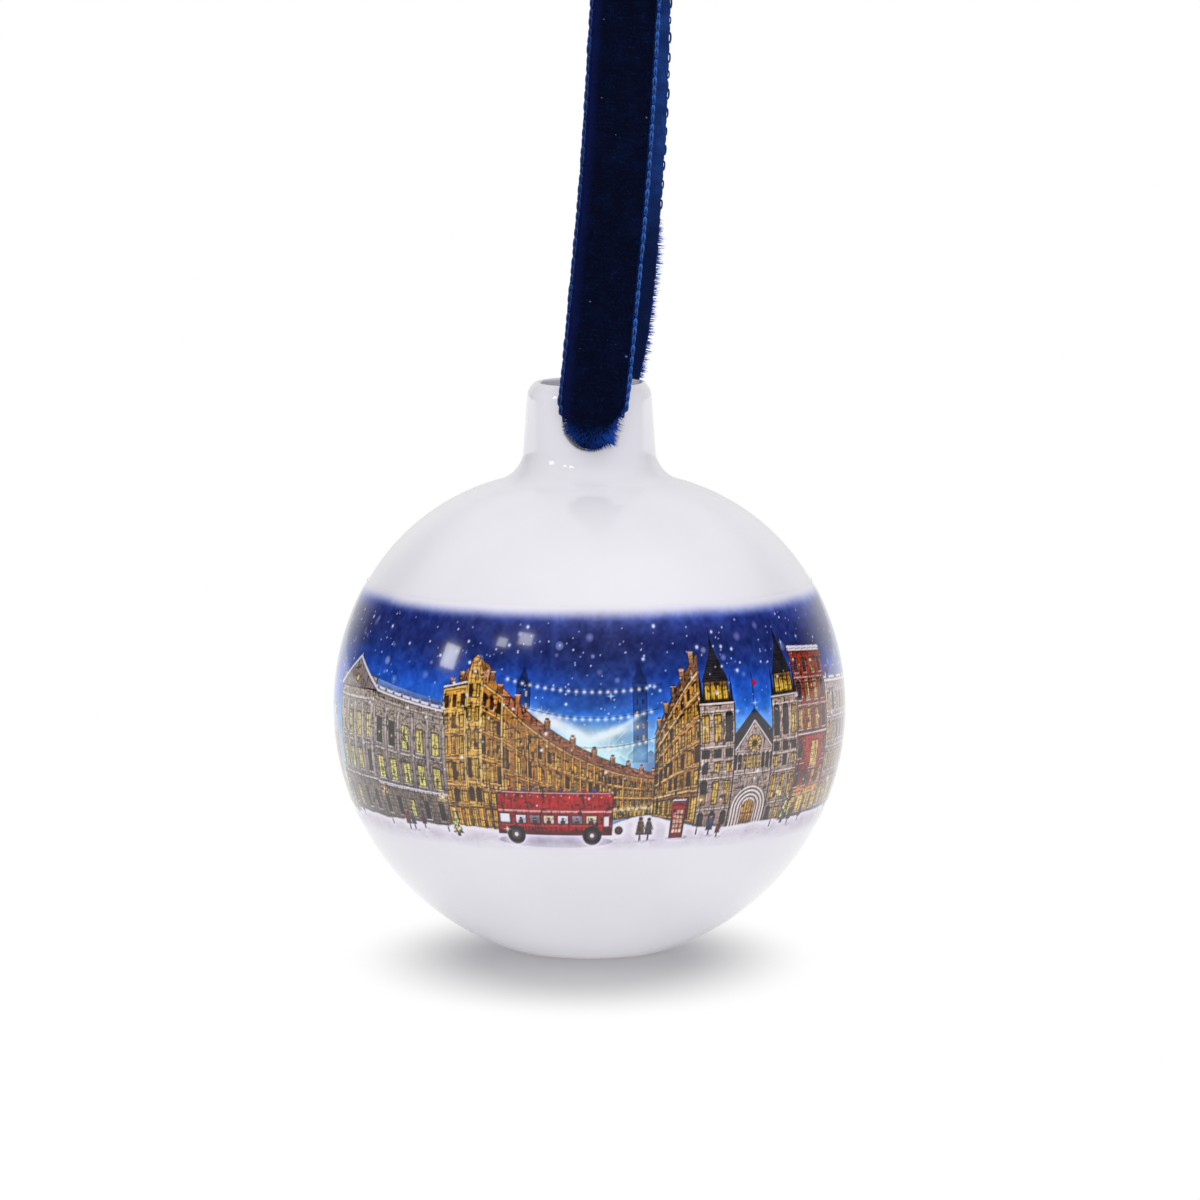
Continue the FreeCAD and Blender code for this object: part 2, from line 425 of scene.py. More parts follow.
def neck_blend(reach_r, fillet_r, foot_r, lean, centre):
    """Centre of the fillet between a shoulder's arc and a neck's wall that leans outwards as it goes down."""
    slope = math.hypot(1, lean)
    start = np.array([foot_r + fillet_r / slope, HOLE_H + fillet_r * lean / slope]) - centre
    step = np.array([lean, -1]) / slope
    along = start @ step
    return centre + start + step * (-along - math.sqrt(along**2 - start @ start + (reach_r + fillet_r) ** 2))


class Lathe:
    """The china's outline as (radius, height) points, with the two stretches that the ribbon holes break."""

    def __init__(self, china):
        neck_r, bore_r, wall = china.neck_d / MM / 2, china.mouth_d / MM / 2, china.wall / MM
        self.neck_r, self.bore_r = neck_r, bore_r
        join = np.array([math.sqrt(BALL_R**2 - SHOULDER_H**2), SHOULDER_H])
        shoulder = join * (BALL_R - SHOULDER_R) / BALL_R
        slope = math.hypot(1, DRAFT)
        outer = neck_blend(SHOULDER_R, FILLET_R, neck_r, DRAFT, shoulder)
        outer_high = outer - np.array([FILLET_R, FILLET_R * DRAFT]) / slope
        outer_low = toward(outer, shoulder, FILLET_R)
        edge_centre = np.array([bore_r + LIP_EDGE_R, RIM_H - LIP_EDGE_R])
        drop = LIP_R
        for _ in range(12):
            centre_r = neck_r - DRAFT * (RIM_H - drop - HOLE_H) - LIP_R
            drop = LIP_EDGE_R + math.sqrt((LIP_R - LIP_EDGE_R) ** 2 - (edge_centre[0] - centre_r) ** 2)
        self.lip_h = RIM_H - drop
        self.lip_centre = np.array([centre_r, self.lip_h])
        lip_meet = toward(self.lip_centre, edge_centre, LIP_R)
        lip_break = (self.neck_radius(RIM_H - 0.85), RIM_H - 0.85)
        inner_r, inner_fillet, floor_h = BALL_R - wall, FILLET_R + wall, FOOT_H + wall
        inner = neck_blend(SHOULDER_R - wall, inner_fillet, bore_r, 0, shoulder)
        inner_low = toward(inner, shoulder, inner_fillet)
        floor_r = math.sqrt(inner_r**2 - floor_h**2)
        ball_low = arc_points((FOOT_R, FOOT_H), (BALL_R, 0), (0, 0), 60)[1]
        foot_edge = [(FOOT_R - 0.7, FOOT_H), (FOOT_R - 0.35, FOOT_H + 0.03), (FOOT_R + 0.12, FOOT_H + 0.16)]
        bore_top, bore_low = (bore_r, RIM_H - LIP_EDGE_R), (bore_r, inner[1])
        heights = np.linspace(outer_high[1], lip_break[1], 21)
        below = [
            np.linspace((0, FOOT_H), (FOOT_R - 1.4, FOOT_H), 7), foot_edge,
            arc_points(ball_low, (BALL_R, 0), (0, 0), 58), arc_points((BALL_R, 0), join, (0, 0), 20),
            arc_points(join, outer_low, shoulder, 26), arc_points(outer_low, outer_high, outer, 14),
        ]
        neck = [
            [(self.neck_radius(height), height) for height in heights[1:]],
            arc_points(lip_break, lip_meet, self.lip_centre, 8)[1:],
            arc_points(lip_meet, bore_top, edge_centre, 12)[1:],
        ]
        inside = [
            np.linspace(bore_top, bore_low, 21), arc_points(bore_low, inner_low, inner, 10),
            arc_points(inner_low, join * inner_r / BALL_R, shoulder, 16),
            arc_points(join * inner_r / BALL_R, (inner_r, 0), (0, 0), 10),
            arc_points((inner_r, 0), (floor_r, floor_h), (0, 0), 30),
            np.linspace((floor_r, floor_h), (0, floor_h), 7),
        ]
        runs = below + neck + [run[1:] for run in inside]
        self.points = np.concatenate(runs)
        outer_start, inner_start = (sum(map(len, part)) - 1 for part in (below, below + neck))
        self.outer_rows, self.inner_rows = (outer_start, outer_start + 20), (inner_start, inner_start + 20)

    def neck_radius(self, height):
        """Outer radius of the neck, over its drafted wall and the start of its lip."""
        if height <= self.lip_h:
            return self.neck_r - DRAFT * (height - HOLE_H)
        return self.lip_centre[0] + math.sqrt(max(0.0, LIP_R**2 - (height - self.lip_h) ** 2))


def china_mesh(china):
    """The lathe turned round its axis, with a rounded hole through the neck's front and back."""
    lathe = Lathe(china)
    outline = lathe.points
    hole_r = china.hole_d / MM / 2
    turn = 2 * np.pi * np.arange(COLUMNS) / COLUMNS
    radius, height = outline[:, :1], np.repeat(outline[:, 1:], COLUMNS, axis=1)
    points = np.stack([radius * np.sin(turn), -radius * np.cos(turn), height], axis=-1)
    faces = grid_faces(len(outline), COLUMNS, closed=True)
    row, column = faces[:, 0] // COLUMNS, faces[:, 0] % COLUMNS
    near_hole = (column + HOLE_COLUMNS) % (COLUMNS // 2) < 2 * HOLE_COLUMNS
    in_patch = np.zeros(len(faces), bool)
    for low, high in (lathe.outer_rows, lathe.inner_rows):
        in_patch |= near_hole & (row >= low) & (row < high)
    faces = faces[~in_patch]
    all_points, all_faces, count = [points.reshape(-1, 3)], [faces], points[..., 0].size

    def surface(outer, side, across, height):
        radius = lathe.neck_radius(height) if outer else lathe.bore_r
        return (across * side, -side * math.sqrt(radius**2 - across**2), height)

    def rim(outer):
        """The patch's edge, as (across, height), from its lower left corner round it."""
        low, high = lathe.outer_rows if outer else lathe.inner_rows
        rows = outline[low:high + 1][::1 if outer else -1]
        angles = 2 * np.pi * np.arange(-HOLE_COLUMNS, HOLE_COLUMNS + 1) / COLUMNS
        bottom = [(rows[0][0] * math.sin(a), rows[0][1]) for a in angles]
        right = [(r * math.sin(angles[-1]), h) for r, h in rows]
        top = [(rows[-1][0] * math.sin(a), rows[-1][1]) for a in angles[::-1]]
        left = [(r * math.sin(angles[0]), h) for r, h in rows[::-1]]
        return bottom[:-1] + right[:-1] + top[:-1] + left[:-1]

    for side in (1, -1):
        rings = []
        for outer in (True, False):
            edge = rim(outer)
            aims = [math.atan2(h - HOLE_H, a) for a, h in edge]
            reach = hole_r + EDGE_R
            patch = []
            for share in np.linspace(0, 1, 9):
                ring = []
                for (a, h), angle in zip(edge, aims):
                    across = a + (reach * math.cos(angle) - a) * share
                    height = h + (HOLE_H + reach * math.sin(angle) - h) * share
                    ring.append(surface(outer, side, across, height))
                patch.append(ring)
            for bend in np.radians((22.5, 45, 67.5, 90)):
                radius = reach - EDGE_R * math.sin(bend)
                depth = EDGE_R * (1 - math.cos(bend)) * (1 if outer else -1)
                ring = []
                for angle in aims:
                    x, y, z = surface(
                        outer, side, radius * math.cos(angle), HOLE_H + radius * math.sin(angle)
                    )
                    ring.append((x, y + side * depth, z))
                patch.append(ring)
            rings += patch if outer else patch[::-1]
        ring_count = len(rings[0])
        all_points.append(np.array(rings).reshape(-1, 3))
        all_faces.append(grid_faces(len(rings), ring_count, closed=True) + count)
        count += len(rings) * ring_count
    piece = mesh_piece("china_ball", np.concatenate(all_points) + BALL_CENTRE, np.concatenate(all_faces))
    weld(piece, 0.004)
    return piece


def glaze_material(china):
    """Clear glaze over white china: even, very glossy, with a faint lie of the glaze and a bare foot."""
    made, tree = material("clear_glaze_on_china", china.glaze)
    place_on = object_place(tree)
    height = place_on.parts()[2]
    drift = place_on.noise(45.0, 3.0)
    speck = place_on.noise(2600.0, 1.0).between(0.78, 0.83)
    pooled = [value * 0.955 for value in china.glaze]
    body = drift.between(0.3, 0.7).mix(pooled, china.glaze)
    body = (speck * 0.25).mix(body, (0.42, 0.38, 0.33))
    foot = 1.0 - height.between((CHINA_LOW[2] + 0.10) * MM, (CHINA_LOW[2] + 0.34) * MM)
    grain = place_on.noise(5200.0, 3.0, 0.7)
    bare = grain.mix(china.biscuit, [value * 0.86 for value in china.biscuit])
    ripple = place_on.noise(95.0, 2.0) * (1.0 - foot) + grain * foot * 0.12
    rough = 0.07 + place_on.noise(160.0, 2.0) * 0.035 + foot * 0.6
    principled(
        tree, bump=ripple, strength=0.25, distance=0.00012, Base_Color=foot.mix(body, bare), Roughness=rough,
        IOR=1.5, Coat_Weight=(1.0 - foot) * 0.5, Coat_Roughness=0.03, Specular_IOR_Level=0.5,
    )
    return made


# ------------------------------------------------------------------ the fired print

GROUND = -13.2
INK = "160e10"
SNOW = "e2e2ee"


def nearest_edge(starts, ends, u, z):
    """How far each point of the canvas is from the nearest of those edges."""
    nearest = np.full((z.size, u.size), 9.0)
    for (u0, z0), (u1, z1) in zip(starts, ends):
        du, dz = u1 - u0, z1 - z0
        along = np.clip(((u - u0) * du + (z - z0) * dz) / (du * du + dz * dz + 1e-12), 0, 1)
        nearest = np.minimum(nearest, np.hypot(u - u0 - along * du, z - z0 - along * dz))
    return nearest


def smooth(share):
    return share * share * (3 - 2 * share)


def rgb(tint, level=1.0):
    """A colour from its six-digit web code, or from three numbers, with its brightness scaled."""
    return np.array(list(bytes.fromhex(tint)) if isinstance(tint, str) else tint) * level


class Print:
    """The flat artwork: u runs round the equator, 0 at the front, positive to the right; z is the height."""

    def __init__(self, settings):
        self.around = 2 * math.pi * BALL_R
        self.low, self.high = settings.bottom / MM, settings.top / MM
        cell = settings.cell / MM
        self.cells = 6 * round(self.around / cell / 6)
        self.cell_rows = round((self.high - self.low) / cell)
        self.fine = self.around / self.cells / 2
        self.step = (self.high - self.low) / self.cell_rows / 2
        self.rgb = np.ones((2 * self.cell_rows, 2 * self.cells, 3), np.float32)
        self.random = np.random.default_rng(settings.seed)
        self.draw = self.random.uniform

    def window(self, points, margin=0.25):
        """The part of the canvas round those points, and the coordinates of its own points."""
        spans = []
        for axis, origin, pitch in ((1, self.low, self.step), (0, -self.around / 2, self.fine)):
            places = [point[axis] for point in points]
            first = max(int((min(places) - margin - origin) / pitch), 0)
            last = min(int((max(places) + margin - origin) / pitch) + 1, self.rgb.shape[1 - axis])
            spans.append((slice(first, max(first, last)), (np.arange(first, last) + 0.5) * pitch + origin))
        (rows, z), (columns, u) = spans
        return (rows, columns), u[None, :], z[:, None]

    def whole(self):
        return self.window([(-self.around, self.low), (self.around, self.high)])

    def lay(self, part, cover, tint, alpha=1.0):
        """Covers that part with a colour (0 to 255), as densely as cover says."""
        target = self.rgb[part]
        if target.size:
            cover = (np.clip(cover, 0, 1) * alpha)[..., None].astype(np.float32)
            target += (rgb(tint).astype(np.float32) / 255 - target) * cover

    def lighten(self, part, cover, tint):
        """Adds light of a colour."""
        target = self.rgb[part]
        if target.size:
            glow = np.clip(cover, 0, 1)[..., None] * (rgb(tint) / 255)
            target += ((1 - target) * glow).astype(np.float32)

    def area(self, corners, tint, alpha=1.0, foot=None):
        """A polygon; foot is its colour at the bottom, when it isn't the same all over."""
        ends = corners[1:] + corners[:1]
        part, u, z = self.window(corners)
        inside = np.zeros((z.size, u.size), bool)
        for (u0, z0), (u1, z1) in zip(corners, ends):
            if z1 - z0:
                inside ^= ((z0 > z) != (z1 > z)) & (u < (u1 - u0) * (z - z0) / (z1 - z0) + u0)
        nearest = nearest_edge(corners, ends, u, z)
        if foot is not None:
            low, high = (pick(point[1] for point in corners) for pick in (min, max))
            rise = np.clip((z - low) / max(high - low, 0.01), 0, 1)[..., None]
            tint = rgb(foot) * (1 - rise) + rgb(tint) * rise
        self.lay(part, 0.5 + np.where(inside, nearest, -nearest) / self.fine, tint, alpha)

    def box(self, u0, u1, z0, z1, tint, alpha=1.0, foot=None):
        self.area([(u0, z0), (u1, z0), (u1, z1), (u0, z1)], tint, alpha, foot)

    def line(self, points, width, tint=INK, alpha=1.0, closed=False):
        """A pen line through the points."""
        points = points + points[:1] if closed else points
        part, u, z = self.window(points, 0.2 + width)
        nearest = nearest_edge(points, points[1:], u, z)
        self.lay(part, 0.5 + (width / 2 - nearest) / self.fine, tint, alpha)

    def disc(self, u0, z0, radius, tint, alpha=1.0, squash=1.0, soft=0.0):
        tall = radius * squash
        part, u, z = self.window([(u0 - radius, z0 - tall), (u0 + radius, z0 + tall)], 0.2 + soft)
        gap = radius - np.hypot(u - u0, (z - z0) / squash)
        self.lay(part, 0.5 + gap / max(self.fine, soft), tint, alpha)

    def glow(self, u0, z0, radius, tint, strength=1.0):
        """A soft round light."""
        part, u, z = self.window([(u0 - 2 * radius, z0 - 2 * radius), (u0 + 2 * radius, z0 + 2 * radius)])
        self.lighten(part, strength * np.exp(-2 * ((u - u0) ** 2 + (z - z0) ** 2) / radius**2), tint)

    def cloud(self, size, squash=1.0):
        """Smooth noise from 0 to 1 over the canvas, with features of that size; it joins round the back."""
        rows, columns = self.rgb.shape[:2]
        down, across = max(2, int(rows * self.step / size / squash)), int(self.around / size)
        seed = self.random.random((down + 2, across)).astype(np.float32)
        z = np.arange(rows) / rows * down
        u = np.arange(columns) / columns * across
        r, c = z.astype(int), u.astype(int)
        fr, fc = smooth(z - r)[:, None], smooth(u - c)[None, :]
        below, above = (
            seed[row][:, c] * (1 - fc) + seed[row][:, (c + 1) % across] * fc for row in (r, r + 1)
        )
        return below * (1 - fr) + above * fr


def soften(values, reach):
    """Those values averaged over a square that many cells wide, twice over."""
    for axis in (0, 1, 0, 1):
        edges = [(0, 0), (0, 0)]
        edges[axis] = (reach // 2, reach - reach // 2 - 1)
        total = np.cumsum(np.pad(values, edges, mode="edge"), axis=axis, dtype=np.float64)
        total = np.concatenate([np.take(total, [0], axis) * 0, total], axis)
        count = values.shape[axis]
        upper, lower = (np.take(total, range(start, start + count), axis) for start in (reach, 0))
        values = ((upper - lower) / reach).astype(np.float32)
    return values


class Front:
    """The face of a building. at(s, t) places a point of it: s from 0 to 1 along it, t from 0 to 1 up it."""

    def __init__(self, left, right, low, high, crowd=1.0, bow=0.0):
        self.left, self.right, self.low, self.high, self.crowd, self.bow = left, right, low, high, crowd, bow

    def at(self, s, t):
        s = s * self.crowd / (1 + s * (self.crowd - 1))
        foot = self.low[0] + (self.low[1] - self.low[0]) * s
        top = self.high[0] + (self.high[1] - self.high[0]) * s + self.bow * 4 * s * (1 - s)
        return self.left + (self.right - self.left) * s, foot + (top - foot) * t

    def course(self, t, steps=12):
        """Points along the face at one height."""
        return [self.at(s, t) for s in np.linspace(0, 1, steps + 1)]

    def outline(self, steps=10):
        return self.course(0, steps) + self.course(1, steps)[::-1]

    def upright(self, s, t0, t1):
        """The ends of a line up the face."""
        return [self.at(s, t0), self.at(s, t1)]

    def panel(self, s, half, t0, t1):
        """The corners of a panel that is centred at s."""
        left, right = self.upright(s - half, t0, t1), self.upright(s + half, t0, t1)
        return left[:1] + right + left[1:]


def paint_opening(art, face, s, half, low, high, style):
    """A window or door: stone round it, a dark frame, glass that is lit or dark, and its bars."""
    corners = face.panel(s, half, low, high)
    (ul, zl), (ur, zr), (_, top_r), (_, top_l) = corners
    width, tall = ur - ul, (top_l + top_r - zl - zr) / 2
    if abs(width) < 0.09 or tall < 0.12:
        return
    middle, head = (ul + ur) / 2, (top_l + top_r) / 2
    lit = art.random.random() < style["lit"]
    glass = np.clip(rgb(style["glow" if lit else "dark"], art.draw(0.86, 1.08)), 0, 255)
    surround = [(ul - 0.1, zl - 0.08), (ur + 0.1, zr - 0.08), (ur + 0.1, top_r + 0.1), (ul - 0.1, top_l + 0.1)]
    art.area(surround, style["stone"], 0.75)
    if style.get("arch") and width > 0.3:
        for grow_by, tint, alpha in (
            (0.14, style["stone"], 0.85), (0.03, INK, 0.85), (-0.07, glass * 0.9, 1.0)
        ):
            art.disc(middle, head, width / 2 + grow_by, tint, alpha)
    art.area(corners, glass, foot=np.clip(glass * (1.12 if lit else 0.8), 0, 255))
    art.line(corners, 0.14, INK, 0.92, closed=True)
    art.line(corners[2:], 0.22, INK, 0.8)
    if width > 0.45:
        art.line([(middle, (zl + zr) / 2), (middle, head)], 0.07, INK, 0.8)
    if tall > 0.7:
        for share in ((0.5,) if tall < 1.4 else (0.33, 0.66)):
            art.line([(ul, zl + (top_l - zl) * share), (ur, zr + (top_r - zr) * share)], 0.06, INK, 0.7)
    if "sill" in style:
        art.line([(ul - 0.12, zl - 0.11), (ur + 0.12, zr - 0.11)], 0.13, style["sill"], 0.9)
    if lit and width > 0.35:
        art.glow(middle, (zl + head) / 2, width * 1.1, style["glow"], 0.22)


def paint_front(art, face, wall, foot, storeys, bays, style, courses, hatch):
    """A whole face: its wall, its openings and its courses, then loose pen strokes over it.

    A storey is (low, high, share of the bay that its openings take, changes to the style).
    """
    art.area(face.outline(), wall, foot=foot)
    for number in range(bays):
        for low, high, share, *change in storeys:
            paint_opening(
                art, face, (number + 0.5) / bays, share / bays / 2, low, high, dict(style, **dict(*change))
            )
    for t, width, tint in courses:
        art.line(face.course(t), width, tint, 0.95)
        art.line(face.course(t - 0.012), 0.07, INK, 0.6)
    for _ in range(2 * hatch):
        s, t = art.random.random(), art.draw(0.02, 0.97)
        u, z = face.at(s, t)
        reach = art.draw(0.15, 0.7)
        if art.random.random() < 0.6:
            tip = (u + art.random.normal(0, 0.03), z - reach)
            alpha = art.draw(0.25, 0.75)
        else:
            along = face.at(min(s + 0.02, 1), t)
            tip = (u + reach, z + (along[1] - z) / max(along[0] - u, 0.01) * reach)
            alpha = art.draw(0.25, 0.7)
        art.line([(u, z), tip], 0.07, INK, alpha)
    art.line(face.outline(), 0.1, INK, 0.8, closed=True)


def paint_snow_cap(art, points, depth):
    """Snow along a ledge: a soft white line with a lumpy upper edge and a dark line below."""
    art.line([(u, z - depth * 0.45) for u, z in points], 0.08, INK, 0.7)
    art.line(points, depth, "e2e0ec", 0.95)
    for (u0, z0), (u1, z1) in zip(points, points[1:]):
        for share in np.arange(0, 1, 0.25 / max(abs(u1 - u0), 0.25)):
            share = share + art.draw(0, 0.05)
            bump = art.draw(0.05, 0.17)
            art.disc(u0 + (u1 - u0) * share, z0 + (z1 - z0) * share + depth * 0.35, bump, "ececf5", 0.9, 0.7)


def paint_chimney(art, u, z, width, tall, tint):
    left, right, top = u - width / 2, u + width / 2, z + tall
    art.box(left, right, z, top, tint, foot=rgb(tint, 0.7))
    art.box(left - 0.08, right + 0.08, top - 0.2, top, rgb(tint, 1.2))
    art.line([(left, z), (left, top), (right, top), (right, z)], 0.08)
    for pot in (-0.25, 0.0, 0.25):
        art.line([(u + pot * width, top), (u + pot * width, top + 0.28)], 0.13, "783e28")
    art.line([(left, top + 0.02), (right, top + 0.02)], 0.1, SNOW, 0.8)


def paint_tree(art, u, foot, tall, tint):
    """A fir in a tub, with a few small lights."""
    art.box(u - 0.28, u + 0.28, foot, foot + 0.55, "7a3426", foot="52221c")
    tiers = 5
    for tier in range(tiers):
        base = foot + 0.45 + tall * tier / tiers * 0.86
        half = tall * 0.27 * (1 - tier / tiers * 0.8)
        left, right, top = u - half, u + half, base + tall * 0.36
        branch = [(left, base), (u - half * 0.3, base + 0.1), (u, base - 0.04), (right, base + 0.02), (u, top)]
        art.area(branch, rgb(tint, 0.75 + 0.09 * tier))
        art.line([(left, base), (u, top), (right, base)], 0.06, "182218", 0.6)

    def on_tree(bias, lift, spread):
        share = art.random.random() ** bias
        reach = tall * spread * (1 - share)
        return u + art.draw(-reach, reach), foot + lift + tall * share

    for _ in range(int(26 * tall)):
        x, z = on_tree(1.4, 0.5, 0.25)
        dash = art.draw(0.08, 0.22)
        tone = "182418" if art.random.random() < 0.55 else "acb88c"
        art.line([(x, z), (x + dash * 0.8, z - dash)], 0.06, tone, 0.6)
    for _ in range(int(9 * tall)):
        x, z = on_tree(1.3, 0.6, 0.22)
        art.disc(x, z, 0.06, "ffecaa")
        art.glow(x, z, 0.22, "ffd678", 0.7)


def paint_figure(art, u, foot, tall, coat):
    """A small walker in a coat and a hat, with no face."""
    stride, half, coat = 0.1, tall * 0.17, rgb(coat)
    for side in (-stride, stride):
        art.line([(u + side, foot), (u, foot + tall * 0.42)], 0.11, INK, 0.9)
    hem, collar = foot + tall * 0.26, foot + tall * 0.8
    body = [(u - half, hem), (u + half, hem), (u + half * 0.6, collar), (u - half * 0.6, collar)]
    art.area(body, coat, foot=coat * 0.75)
    art.line(body, 0.06, INK, 0.65, closed=True)
    art.line([(u + half * 0.6, foot + tall * 0.74), (u + half * 1.25, foot + tall * 0.46)], 0.1, coat * 0.7)
    art.disc(u, foot + tall * 0.88, tall * 0.085, "927062")
    art.disc(u, foot + tall * 0.93, tall * 0.085, coat * 0.6, squash=0.7)
    art.disc(u + 0.25, foot - 0.06, tall * 0.28, "bab6cd", 0.5, 0.22, soft=0.2)


def paint_lamp_post(art, u, foot, tall):
    iron, head = "1e1a1e", foot + tall
    art.line([(u, foot), (u, head)], 0.11, iron)
    art.line([(u, foot), (u, foot + 0.6)], 0.2, iron)
    art.area([(u - 0.14, head), (u + 0.14, head), (u + 0.22, head + 0.42), (u - 0.22, head + 0.42)], "ffe296")
    art.line([(u - 0.24, head + 0.44), (u, head + 0.66), (u + 0.24, head + 0.44)], 0.09, iron)
    art.glow(u, head + 0.2, 1.1, "ffce78", 0.75)


def paint_sparkle(art, u, z, reach, strength, tint):
    """A light with four thin rays."""
    for du, dz in ((reach, 0), (0, reach)):
        for share, width in ((1.0, 0.04), (0.55, 0.09)):
            ends = [(u - du * share, z - dz * share), (u + du * share, z + dz * share)]
            art.line(ends, width, tint, strength * 0.55)
    art.glow(u, z, reach * 0.45, tint, strength)


# ------------------------------------------------------------------ the town on the print

SKY_STOPS = ((-15, "a6bec8"), (-4, "8cb8cc"), (0, "5c9ed8"), (3, "2e74d4"),
             (5, "2260c8"), (6.5, "1c52ba"), (8, "1842a0"), (9.2, "173686"),
             (10.4, "182e74"), (12, "1b2a6a"), (14, "1e2c70"), (15, "263886"),
             (16, "485cae"), (17.5, "8a98d4"))
GOLD = {"stone": "eeb860", "glow": "f8ba50", "dark": "54341c", "lit": 0.7, "sill": "f4c674"}
STONE = {"stone": "c4b8b0", "glow": "f0e082", "dark": "2c262a", "lit": 0.7, "sill": "e0dada"}
CREAM = {"stone": "e4bc70", "glow": "f0be5c", "dark": "483422", "lit": 0.65, "sill": "e8c686"}
CHURCH = {"stone": "cdbeb2", "glow": "e2ba5c", "dark": "463a36", "lit": 0.65, "arch": 1}
BRICK = {"stone": "decec4", "glow": "e6be6e", "dark": "3e3c46", "lit": 0.5, "sill": "ded6d6"}
HOUSE_WALLS = (("a86048", "784234"), ("ceb892", "967c60"), ("84808c", "5c545c"),
               ("be7854", "84523c"), ("d6c8b4", "9e8c7c"), ("784a3e", "58342e"))
COATS = ("862c3c", "343e70", "5c5456", "7c603e", "603060", "2c5454")
TREES = ((-45.6, -13.4, 7.2), (-48, -13, 5), (-19.9, -13.9, 3.2), (31.9, -13.2, 3.6), (54.2, -13.4, 6.4),
         (-67.6, -13.4, 6), (-82, -13.6, 7), (-80, -13.2, 4.8), (85.6, -13.4, 6.6), (89.4, -13.6, 8.4),
         (92.6, -13.2, 5.6), (98.8, -13.6, 7.4), (104, -13.3, 5.4), (-108, -13.5, 6.2))
LAMP_POSTS = (-46.9, -33.2, -21.6, 15.9, 29.4, 44, 58.4, 72.6, 95.6, -56, -71.2, -86)
WALKERS = ((-42.2, -13.3, 1.9), (-29.3, -13.8, 2.4), (-28.2, -13.7, 2.2), (-26, -13.3, 1.7), (7.3, -14, 2.7),
           (8.5, -13.9, 2.5), (17.9, -13.7, 2.4), (19.4, -14, 1.8), (33.6, -13.6, 2.3), (36.4, -13.4, 2),
           (47.4, -13.6, 2.4), (62, -13.8, 2.4), (63.4, -13.6, 2.2), (76, -13.7, 2.4), (-52.4, -13.7, 2.4),
           (-60.2, -13.8, 2.2), (-61.4, -13.6, 2.4), (-74, -13.8, 2.3), (-95, -9, 1.9), (101.6, -14, 2.4))


def paint_sky(art):
    part, u, z = art.whole()
    heights, tints = zip(*SKY_STOPS)
    drift = z + 1.5 * (art.cloud(17, 0.4) - 0.5) + 0.9 * (art.cloud(5, 0.5) - 0.5)
    for channel, levels in enumerate(zip(*map(rgb, tints))):
        art.rgb[..., channel] = np.interp(drift, heights, levels) / 255
    mist = np.clip(art.cloud(9, 0.35) - 0.55, 0, 1) * np.clip((z - 9) / 4, 0, 1)
    street = np.exp(-(((u - 2) / 8) ** 2))
    for cover, tint, alpha in (
        (mist, "423c60", 0.55), (street * np.clip((z - 3) / 2, 0, 1), "282a4e", 0.42),
        (street * np.clip((3.5 - z) / 2, 0, 1), "7c8086", 0.34),
    ):
        art.lay(part, cover, tint, alpha)


def paint_distance(art):
    """Faint far roofs and plain towers against the sky."""
    for start, end, lift in ((-9.5, 10, 0), (-110, -74, 3), (84, 110, 3)):
        u = start
        while u < end:
            width, top = art.draw(1.2, 2.6), art.draw(-4.5, -0.5) + lift
            art.box(u, u + width, GROUND, top, "34548c", 0.8, foot="6e8caa")
            art.area([(u, top), (u + width, top), (u + width / 2, top + 0.9)], "2c4a84", 0.8)
            u += width
    far = "183068"
    for u, top in ((-9, 9.6), (6.9, 10.2)):
        eaves = top - 2.6
        art.box(u - 0.95, u + 0.95, -3, eaves, far, 0.75, foot="1e4282")
        art.area([(u - 1, eaves), (u + 1, eaves), (u + 0.12, top), (u - 0.12, top)], "142658", 0.85)
        for x in (u - 0.85, u + 0.85):
            art.area([(x - 0.2, top - 2.7), (x + 0.2, top - 2.7), (x, top - 1.3)], far, 0.85)
        for number in range(10):
            x, z = u + (-0.4, 0.4)[number % 2], top - 3.8 - 1.6 * (number // 2)
            tint = "ceaa6e" if art.random.random() < 0.35 else "0e1e4c"
            art.box(x - 0.14, x + 0.14, z, z + 0.7, tint, 0.7)
        art.line([(u - 0.95, -3), (u - 0.95, eaves), (u + 0.95, eaves), (u + 0.95, -3)], 0.08, "0e1a42", 0.8)


